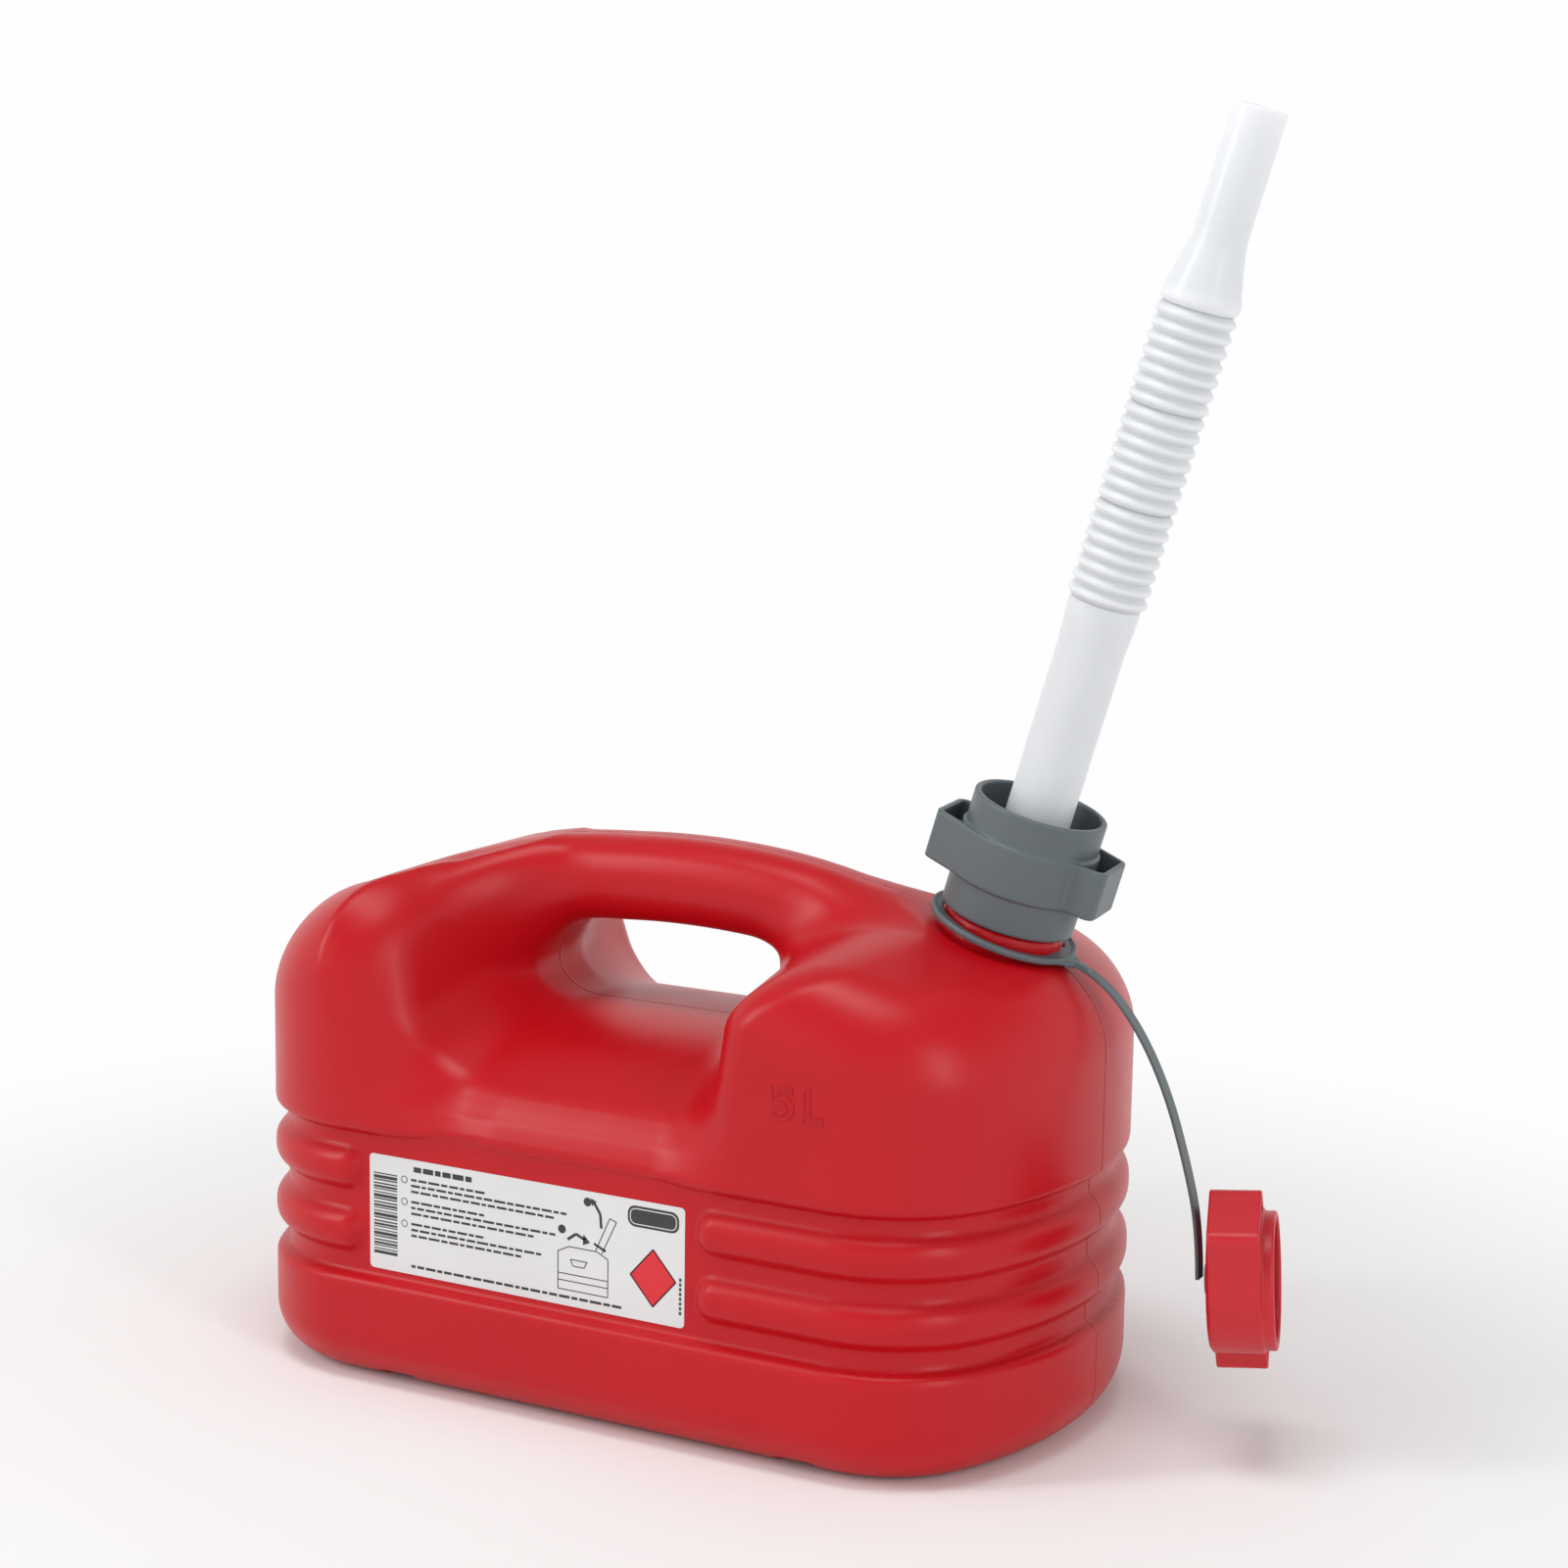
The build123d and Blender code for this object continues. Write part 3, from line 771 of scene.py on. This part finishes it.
def bellows_profile(bottom):
    """Outside and inside of one section's folds; round crests, rounder roots."""
    pitch = SECTION_LENGTH / FOLDS_PER_SECTION
    outside = []
    for i in range(FOLDS_PER_SECTION * FOLD_STEPS + 1):
        share = i / FOLD_STEPS
        wave = (0.5 - 0.5 * math.cos(2 * math.pi * share)) ** FOLD_SHARPNESS
        outside.append((FOLD_ROOT_R + FOLD_DEPTH * wave, bottom + share * pitch))
    inside = [(r - FOLD_WALL, h) for r, h in reversed(outside)]
    return outside + inside


def make_spout(material):
    tube = turned("spout_foot_tube", rounded(FOOT_TUBE_OUTLINE, FOOT_TUBE_EDGE_R), neck_points)
    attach(tube, "spout_foot")
    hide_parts("spout_tube")
    pieces = [tube]
    for section, node in enumerate(SECTIONS):
        bottom = FOLDS_BOTTOM + SECTION_LENGTH * section
        folds = turned(node + "_folds", bellows_profile(bottom), neck_points)
        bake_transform(folds)
        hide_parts(node)
        pieces.append(folds)
    tip = turned("spout_end_tube", rounded(TIP_TUBE_OUTLINE, TIP_TUBE_EDGE_R), neck_points)
    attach(tip, "spout_link_3")
    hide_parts("spout_tip")
    pieces.append(tip)
    for piece in pieces:
        paint(piece, material)


# ------------------------------------------------------------------ neck
NECK_R = 16.9
NECK_BORE_R = 14.5
NECK_SPAN = (-8.5, 14.5)
NECK_EDGE_R = 0.4
RIDGE_ROOT_R = 16.7
RIDGE_DEPTH = 1.6
RIDGE_ROOT_HALF = 1.2
RIDGE_CREST_HALF = 0.5
RIDGE_START = 2.5
RIDGE_TURNS = 2.5
RIDGE_STEPS = 48
RIDGE_FADE_STEPS = 6


def make_neck(material):
    """The threaded neck over the can's mouth."""
    foot, mouth = NECK_SPAN
    outline = [(NECK_BORE_R, foot), (NECK_BORE_R, mouth), (NECK_R, mouth), (NECK_R, foot)]
    neck = turned("can_neck", rounded(outline, NECK_EDGE_R), neck_points)
    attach(neck, "can")
    paint(neck, material)
    points = []
    count = int(RIDGE_TURNS * RIDGE_STEPS)
    for i in range(count + 1):
        angle = 2 * math.pi * i / RIDGE_STEPS
        height = RIDGE_START + THREAD_PITCH * i / RIDGE_STEPS
        fade = min(1, i / RIDGE_FADE_STEPS, (count - i) / RIDGE_FADE_STEPS)
        crest_r = RIDGE_ROOT_R + RIDGE_DEPTH * fade
        section = (
            (RIDGE_ROOT_R, -RIDGE_ROOT_HALF),
            (crest_r, -RIDGE_CREST_HALF),
            (crest_r, RIDGE_CREST_HALF),
            (RIDGE_ROOT_R, RIDGE_ROOT_HALF),
        )
        points += [(r * math.cos(angle), r * math.sin(angle), height + rise) for r, rise in section]
    faces = [(0, 1, 2, 3)]
    for i in range(count):
        for k in range(4):
            m = (k + 1) % 4
            faces.append((4 * i + k, 4 * i + 4 + k, 4 * i + 4 + m, 4 * i + m))
    faces.append((4 * count + 3, 4 * count + 2, 4 * count + 1, 4 * count))
    thread = mesh_object("can_neck_thread", neck_points(np.array(points)) * MM, faces)
    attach(thread, "can")
    paint(thread, material)


# ------------------------------------------------------------------ tether
# the strap's middle line at rest, in metres, from the ring's tab to the cap's button
STRAP_LINE = (
    (0.1279, 0, 0.149), (0.139, 0, 0.1454), (0.152, 0, 0.1315), (0.162, 0, 0.113),
    (0.169, 0, 0.092), (0.174, 0, 0.072), (0.1746, 0, 0.056),
)
# one half of the flat strap's section, (across, out), with half of the rib on its outer face
STRAP_HALF = (
    (-2.1, -0.72), (-2.2, -0.6), (-2.2, 0.2), (-2.05, 0.33), (-0.85, 0.36), (-0.62, 0.68), (-0.45, 0.75),
)
STRAP_SECTION = STRAP_HALF + tuple((-across, out) for across, out in reversed(STRAP_HALF))
STRAP_RESOLUTION = 16
STRAP_ORDER = 3
ROOT_WIDENING = 0.5
ROOT_RINGS = 8
SHARP_ANGLE = math.radians(50)
RING_HEIGHT = -4.2
RING_TILT = math.radians(3.5)
RING_R = 23.4
RING_HOLE_R = 19.4
RING_HALF_THICKNESS = 0.8
RING_EDGE_R = 0.4
RING_FACE_EDGE_R = 0.45
TAB_MIDDLE = 21.5
TAB_HALF_LENGTH = 2.0
TAB_R = 3.1
TAB_ROOT_R = 5.0
LIP_R = 22.8
LIP_HALF_WIDTH = 0.6
LIP_SPAN = (-0.5, 1.3)
LIP_ROOT_R = 0.3
RING_CELL = 0.5
RING_LOW = (-25, -25, -8)
RING_HIGH = (28, 25, 0)
# (radius, height) outline of the button in the cap: head outside, stem, and barb inside
BUTTON_OUTLINE = (
    (0.05, -1.6), (4.6, -1.6), (4.6, -0.4), (2.4, -0.4), (2.4, 2.8), (3.8, 2.8), (2.6, 4.4), (0.05, 4.4),
)
BUTTON_EDGE_R = 0.4
BUTTON_SEGMENTS = 48


def strap_points():
    """Points along the strap's smooth middle line."""
    curve = bpy.data.curves.new("strap_route", "CURVE")
    curve.dimensions = "3D"
    curve.resolution_u = STRAP_RESOLUTION
    spline = curve.splines.new("NURBS")
    spline.points.add(len(STRAP_LINE) - 1)
    for point, place in zip(spline.points, STRAP_LINE):
        point.co = (*place, 1)
    spline.order_u = STRAP_ORDER
    spline.use_endpoint_u = True
    holder = bpy.data.objects.new("strap_route", curve)
    mesh = bpy.data.meshes.new_from_object(holder)
    points = [vertex.co.copy() for vertex in mesh.vertices]
    bpy.data.objects.remove(holder)
    return points


def make_strap(material):
    """Flat strap with a raised rib along its outer face."""
    path = strap_points()
    rings = []
    for i, place in enumerate(path):
        along = (path[min(i + 1, len(path) - 1)] - path[max(i - 1, 0)]).normalized()
        outward = Vector((0, 1, 0)).cross(along) * -1
        widen = 1 + ROOT_WIDENING * max(0, 1 - i / ROOT_RINGS) ** 2
        for across, out in STRAP_SECTION:
            rings.append(place + Vector((0, across * widen, 0)) * MM - outward * out * MM)
    size = len(STRAP_SECTION)
    faces = [tuple(range(size))]
    for i in range(len(path) - 1):
        for k in range(size):
            m = (k + 1) % size
            faces.append((size * i + k, size * i + m, size * i + size + m, size * i + size + k))
    last = size * (len(path) - 1)
    faces.append(tuple(last + k for k in reversed(range(size))))
    strap = mesh_object("strap_with_rib", rings, faces)
    strap.data.set_sharp_from_angle(angle=SHARP_ANGLE)
    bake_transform(strap)
    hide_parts("tether_strap")
    paint(strap, material)


def ring_field(x, y, z):
    """The tether's ring: flat, tilted a little down towards the strap, with a tab for the strap's start."""
    u = x * math.cos(RING_TILT) - (z - RING_HEIGHT) * math.sin(RING_TILT)
    w = x * math.sin(RING_TILT) + (z - RING_HEIGHT) * math.cos(RING_TILT)
    r = np.hypot(u, y)
    ring = round_and(r - RING_R, RING_HOLE_R - r, RING_EDGE_R)
    tab = np.hypot(np.maximum(np.abs(u - TAB_MIDDLE) - TAB_HALF_LENGTH, 0), y) - TAB_R
    tab = np.maximum(tab, RING_HOLE_R - r)
    flat = round_or(ring, tab, TAB_ROOT_R)
    lip = round_and(np.abs(r - LIP_R) - LIP_HALF_WIDTH, between(w, *LIP_SPAN), RING_EDGE_R)
    plate = round_and(flat, np.abs(w) - RING_HALF_THICKNESS, RING_FACE_EDGE_R)
    return round_or(plate, lip, LIP_ROOT_R)


def make_tether(material):
    ring = field_object("ring_with_tab", ring_field, RING_LOW, RING_HIGH, RING_CELL, neck_points)
    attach(ring, "tether")
    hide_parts("tether_ring")
    paint(ring, material)
    outline = rounded(BUTTON_OUTLINE, BUTTON_EDGE_R)
    button = turned("button_with_barb", outline, cap_points, BUTTON_SEGMENTS)
    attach(button, "drop")
    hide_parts("tether_button")
    paint(button, material)
    make_strap(material)


# ------------------------------------------------------------------ label and raised figures
# Places on the label are (across, down) from its top left corner.
LABEL_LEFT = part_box("side_label")[0][0] / MM
LABEL_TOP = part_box("side_label")[1][2] / MM
LABEL_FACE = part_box("side_label")[0][1] / MM
INK_THICKNESS = 0.06
INK_SUNK = 0.02
PALE_LIFT = 0.03
CORNER_POINTS = 6
CIRCLE_POINTS = 16

CODE_LEFT = 1.6
CODE_LENGTH = 9.0
CODE_TOP = 6.0
CODE_BARS = 26
CODE_THICKNESSES = (0.35, 0.7, 0.45, 1.0)
CODE_GAPS = (0.45, 0.3, 0.7)

WORD_LEAST = 1.6
WORD_SPREAD = 2.8
WORD_GAP = 0.7
LAST_WORD = 1.5
TEXT_LEFT = 16.0
TEXT_HEIGHT = 0.75
TEXT_PITCH = 1.9
# where each row of a note ends, how much shorter it gets from note to note, and its seed for word lengths
NOTE_ROWS = ((44.0, 0, 5), (74.0, 4, 9), (70.0, 6, 14))
NOTE_TOPS = (6.2, 13.4, 20.6)
# across, how far under the note's top, and radius
NOTE_RING = (13.4, 0.6, 1.1)
NOTE_RING_LINE = 0.25
# top, right end, height and seed of a row; the heading starts further right than the rest
LAST_ROW = (34.4, 94.0, 0.85, 21)
HEADING_LEFT = 17.0
HEADING = (2.2, 39.0, 1.7, 3)
TICK_PLACE = (114.2, 22.0)
TICK_SIZE = (0.8, 1.0)
TICK_PITCH = 1.5
TICKS = 8

FINE_LINE = 0.3
THICK_LINE = 0.9
# fine lines of a small drawing: a can with two bands and a handle, and a spout
FINE_DRAWING = (
    ((71, 20.5), (71, 32.5), (89, 32.5), (89, 20.5), (85, 18.6), (75, 18.6), (71, 20.5)),
    ((71, 27.4), (89, 27.4)),
    ((71, 29.6), (89, 29.6)),
    ((75.5, 22.6), (81.5, 22.6), (80.5, 24.6), (76.5, 24.6), (75.5, 22.6)),
    ((84.6, 18.4), (89.6, 7.4)),
    ((86.8, 19.0), (92.0, 8.2), (89.6, 7.4)),
)
SPOUT_NUT = ((84.0, 16.2), (88.2, 18.0))
SPOUT_NUT_LINE = 0.8
# two arrows, each a bent line and its head, and a dot beside each
ARROWS = (
    (((74.5, 16.4), (77.5, 14.2), (80.8, 15.6)), [(80.2, 13.9), (80.0, 17.3), (82.6, 16.2)]),
    (((86.6, 11.0), (86.2, 6.6), (84.2, 3.6)), [(84.9, 2.9), (82.8, 2.0), (83.2, 4.5)]),
)
DOTS = ((72.4, 13.4), (81.6, 3.4))
DOT_R = 1.4

# left, top, width, height and corner radius
BADGE = (96.0, 1.8, 18.0, 6.6, 2.6)
BADGE_LINE = (96.9, 2.7, 16.2, 4.8, 1.9)
DIAMOND = [(105.0, 32.6), (113.0, 23.6), (105.0, 14.6), (97.0, 23.6)]
DIAMOND_EDGE = 0.45


def ink_plate(outline):
    """Points and faces of a thin plate on the label, from (across, down) points in millimetres."""
    count = len(outline)
    points = [
        (LABEL_LEFT + across, LABEL_FACE - depth, LABEL_TOP - down)
        for depth in (-INK_SUNK, INK_THICKNESS)
        for across, down in outline
    ]
    faces = [tuple(range(count, 2 * count)), tuple(reversed(range(count)))]
    for k in range(count):
        m = (k + 1) % count
        faces.append((k, m, count + m, count + k))
    return points, faces


def box_outline(left, top, width, height):
    return [(left, top + height), (left + width, top + height), (left + width, top), (left, top)]


def rounded_outline(left, top, width, height, radius):
    turn = 90 / (CORNER_POINTS - 1)
    outline = []
    corners = (
        (left + width - radius, top + radius, -90),
        (left + radius, top + radius, -180),
        (left + radius, top + height - radius, -270),
        (left + width - radius, top + height - radius, 0),
    )
    for x, y, start in corners:
        for step in range(CORNER_POINTS):
            angle = math.radians(start + 90 - turn * step)
            outline.append((x + radius * math.cos(angle), y + radius * math.sin(angle)))
    return outline[::-1]


def stroke(points, width):
    """Plates along a run of lines."""
    made = []
    for (ax, ay), (bx, by) in zip(points, points[1:]):
        length = math.hypot(bx - ax, by - ay)
        nx, ny = -(by - ay) / length * width / 2, (bx - ax) / length * width / 2
        made.append([(ax + nx, ay + ny), (bx + nx, by + ny), (bx - nx, by - ny), (ax - nx, ay - ny)])
    return made


def ink_object(name, outlines, material):
    points = []
    faces = []
    for outline in outlines:
        more, sides = ink_plate(outline)
        faces += [tuple(len(points) + k for k in side) for side in sides]
        points += more
    piece = mesh_object(name, np.array(points) * MM, faces, smooth=False)
    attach(piece, "can")
    paint(piece, material)


def circle(across, down, radius, steps):
    """Points once round a circle, without the first again at the end."""
    angles = [2 * math.pi * t / steps for t in range(steps)]
    return [(across + radius * math.cos(a), down + radius * math.sin(a)) for a in angles]


def word_row(left, top, right, height, seed):
    """A row of word-long bars, which stand for small print."""
    bars = []
    across = left
    step = seed
    while across < right - LAST_WORD:
        step += 1
        word = WORD_LEAST + WORD_SPREAD * ((step * 37) % 11) / 11
        word = min(word, right - across)
        bars.append(box_outline(across, top, word, height))
        across += word + WORD_GAP
    return bars


def bar_code():
    """A bar code, lying on its side."""
    bars = []
    down = CODE_TOP
    for k in range(CODE_BARS):
        thickness = CODE_THICKNESSES[(k * 7 + k // 3) % 4]
        bars.append(box_outline(CODE_LEFT, down, CODE_LENGTH, thickness))
        down += thickness + CODE_GAPS[k % 3]
    return bars


def small_print():
    """Three notes with a ring before each, a row under them, and ticks up the right edge."""
    bars = []
    ring_left, ring_down, ring_r = NOTE_RING
    for note, top in enumerate(NOTE_TOPS):
        for row, (right, shorter, seed) in enumerate(NOTE_ROWS):
            row_top = top + TEXT_PITCH * row
            bars += word_row(TEXT_LEFT, row_top, right - shorter * note, TEXT_HEIGHT, seed + note)
        ring = circle(ring_left, top + ring_down, ring_r, CIRCLE_POINTS)
        bars += stroke(ring + ring[:1], NOTE_RING_LINE)
    bars += word_row(TEXT_LEFT, *LAST_ROW)
    left, top = TICK_PLACE
    bars += [box_outline(left, top + TICK_PITCH * k, *TICK_SIZE) for k in range(TICKS)]
    return bars


def can_drawing():
    """A small can with its spout, and two arrows."""
    plates = []
    for line in FINE_DRAWING:
        plates += stroke(line, FINE_LINE)
    plates += stroke(SPOUT_NUT, SPOUT_NUT_LINE)
    for line, head in ARROWS:
        plates += stroke(line, THICK_LINE)
        plates.append(head)
    return plates


def make_badge():
    """Plain dark badge with a pale line inside its edge."""
    ink_object("label_badge", [rounded_outline(*BADGE)], materials["ink"])
    inner = rounded_outline(*BADGE_LINE)
    plates = stroke(inner + inner[:1], FINE_LINE)
    face = LABEL_FACE - INK_THICKNESS - PALE_LIFT
    points = [(LABEL_LEFT + across, face, LABEL_TOP - down) for plate in plates for across, down in plate]
    faces = [tuple(range(4 * k, 4 * k + 4)) for k in range(len(plates))]
    line = mesh_object("label_badge_line", np.array(points) * MM, faces, smooth=False)
    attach(line, "can")
    paint(line, materials["paper"])


def make_label():
    heading = word_row(HEADING_LEFT, *HEADING)
    dots = [circle(across, down, DOT_R, CIRCLE_POINTS)[::-1] for across, down in DOTS]
    ink_object("label_print_dark", bar_code() + heading + dots, materials["ink"])
    ink_object("label_print_small", small_print() + can_drawing(), materials["ink"])
    make_badge()
    # plain red diamond with a dark edge
    ink_object("label_diamond", [DIAMOND], materials["red_ink"])
    ink_object("label_diamond_edge", stroke(DIAMOND + DIAMOND[:1], DIAMOND_EDGE), materials["ink"])


# Outlines of the raised figures, (across, up) from the left end of the line that they stand on.
FIGURE_FIVE = (
    (0, 10), (6.6, 10), (6.6, 8.1), (2.1, 8.1), (1.9, 6.4), (3.8, 6.6), (5.8, 6.0),
    (7.0, 4.6), (7.1, 2.9), (6.2, 1.0), (4.4, 0.0), (2.0, 0.0), (0.0, 1.3), (1.2, 2.7),
    (2.6, 1.8), (4.0, 1.9), (4.9, 2.8), (4.7, 4.2), (3.5, 4.8), (1.9, 4.5), (0.2, 4.9),
)
LETTER_L = ((0, 10), (2.0, 10), (2.0, 1.9), (6.2, 1.9), (6.2, 0), (0, 0))
LETTER_OFFSET = 10.6
FIGURES = (("figure_five", FIGURE_FIVE, 0.0), ("letter_litre", LETTER_L, LETTER_OFFSET))
FIGURES_LEFT = 70.5
FIGURES_BOTTOM = 109.5
FIGURE_LINE_R = 0.42
FIGURE_ROUNDNESS = 2


def make_figures(material):
    """The capacity, moulded as fine raised outlines on the front block's side."""
    for name, outline, offset in FIGURES:
        curve = bpy.data.curves.new(name, "CURVE")
        curve.dimensions = "3D"
        curve.bevel_depth = FIGURE_LINE_R * MM
        curve.bevel_resolution = FIGURE_ROUNDNESS
        spline = curve.splines.new("POLY")
        spline.points.add(len(outline) - 1)
        for point, (across, up) in zip(spline.points, outline):
            x = (FIGURES_LEFT + offset + across) * MM
            point.co = (x, -HALF_WIDTH * MM, (FIGURES_BOTTOM + up) * MM, 1)
        spline.use_cyclic_u = True
        holder = bpy.data.objects.new(name + "_outline", curve)
        mesh = bpy.data.meshes.new_from_object(holder)
        bpy.data.objects.remove(holder)
        piece = bpy.data.objects.new(name, mesh)
        bpy.context.scene.collection.objects.link(piece)
        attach(piece, "can")
        paint(piece, material)


# ------------------------------------------------------------------ build
materials = make_materials()

make_body(materials["can"])
make_neck(materials["can"])
make_spout(materials["white"])
make_collar(materials["grey"])
cap = make_cap(materials["cap"])
make_tether(materials["grey"])
make_label()
make_figures(materials["can"])

for node, key in (("side_label", "paper"), ("neck_gasket", "rubber"), ("cap_liner", "rubber")):
    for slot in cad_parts[node].material_slots:
        slot.material = materials[key]


# ------------------------------------------------------------------ stage
FLOOR_R = 0.52
FLOOR_SIDES = 64
FLOOR_WHITE = 0.9
FLOOR_ROUGHNESS = 0.9
FLOOR_SPECULAR = 0.1
FADE_FROM = 0.20
FADE_TO = 0.50
HORIZON_STRENGTH = 0.99
OVERHEAD_STRENGTH = 0.42
# heights at which the surroundings start and stop fading, as the sine of the angle above the horizon
SKY_FADE = (0.30, 0.75)
# name, place, target, width, height and power
SOFTBOXES = (
    ("key_softbox", (-1.15, -1.15, 1.1), (0, 0, 0.12), 0.28, 1.1, 9.5),
    ("right_softbox", (1.5, -0.75, 0.8), (0.1, 0, 0.12), 0.25, 1.1, 5.0),
    ("top_softbox", (0.0, -0.35, 1.6), (0, 0, 0.1), 0.9, 0.45, 7.5),
)


def softbox(name, place, target, width, height, power):
    data = bpy.data.lights.new(name, "AREA")
    data.shape = "RECTANGLE"
    data.size = width
    data.size_y = height
    data.energy = power
    light = bpy.data.objects.new(name, data)
    bpy.context.scene.collection.objects.link(light)
    light.location = place
    direction = Vector(target) - Vector(place)
    light.rotation_euler = direction.to_track_quat("-Z", "Y").to_euler()


def fading_floor():
    """White floor that fades out to the white surroundings away from the can."""
    material, nodes, links, shader = new_material("floor_white")
    shader.inputs["Base Color"].default_value = (FLOOR_WHITE, FLOOR_WHITE, FLOOR_WHITE, 1)
    shader.inputs["Roughness"].default_value = FLOOR_ROUGHNESS
    shader.inputs["Specular IOR Level"].default_value = FLOOR_SPECULAR
    coords = nodes.new("ShaderNodeTexCoord")
    away = nodes.new("ShaderNodeVectorMath")
    away.operation = "LENGTH"
    links.new(coords.outputs["Object"], away.inputs[0])
    fade = nodes.new("ShaderNodeMapRange")
    fade.interpolation_type = "SMOOTHSTEP"
    fade.inputs["From Min"].default_value = FADE_FROM
    fade.inputs["From Max"].default_value = FADE_TO
    links.new(away.outputs["Value"], fade.inputs["Value"])
    clear = nodes.new("ShaderNodeBsdfTransparent")
    mixed = nodes.new("ShaderNodeMixShader")
    links.new(fade.outputs["Result"], mixed.inputs["Fac"])
    links.new(shader.outputs["BSDF"], mixed.inputs[1])
    links.new(clear.outputs["BSDF"], mixed.inputs[2])
    links.new(mixed.outputs["Shader"], nodes["Material Output"].inputs["Surface"])
    return material


def make_floor():
    rim = [(FLOOR_R * x, FLOOR_R * y, 0) for x, y in circle(0, 0, 1, FLOOR_SIDES)]
    floor = mesh_object("floor", rim, [tuple(range(FLOOR_SIDES))], smooth=False)
    floor.data.materials.append(fading_floor())


def make_surroundings():
    """White round the horizon, and grey overhead where the softboxes hang."""
    world = bpy.data.worlds.new("studio")
    bpy.context.scene.world = world
    world.use_nodes = True
    nodes = world.node_tree.nodes
    links = world.node_tree.links
    background = nodes["Background"]
    background.inputs["Color"].default_value = (1, 1, 1, 1)
    coords = nodes.new("ShaderNodeTexCoord")
    split = nodes.new("ShaderNodeSeparateXYZ")
    links.new(coords.outputs["Generated"], split.inputs["Vector"])
    height = nodes.new("ShaderNodeMapRange")
    height.interpolation_type = "SMOOTHSTEP"
    height.inputs["From Min"].default_value = SKY_FADE[0]
    height.inputs["From Max"].default_value = SKY_FADE[1]
    height.inputs["To Min"].default_value = HORIZON_STRENGTH
    height.inputs["To Max"].default_value = OVERHEAD_STRENGTH
    links.new(split.outputs["Z"], height.inputs["Value"])
    links.new(height.outputs["Result"], background.inputs["Strength"])


make_floor()
make_surroundings()
for row in SOFTBOXES:
    softbox(*row)
bpy.context.scene.view_settings.view_transform = "Standard"
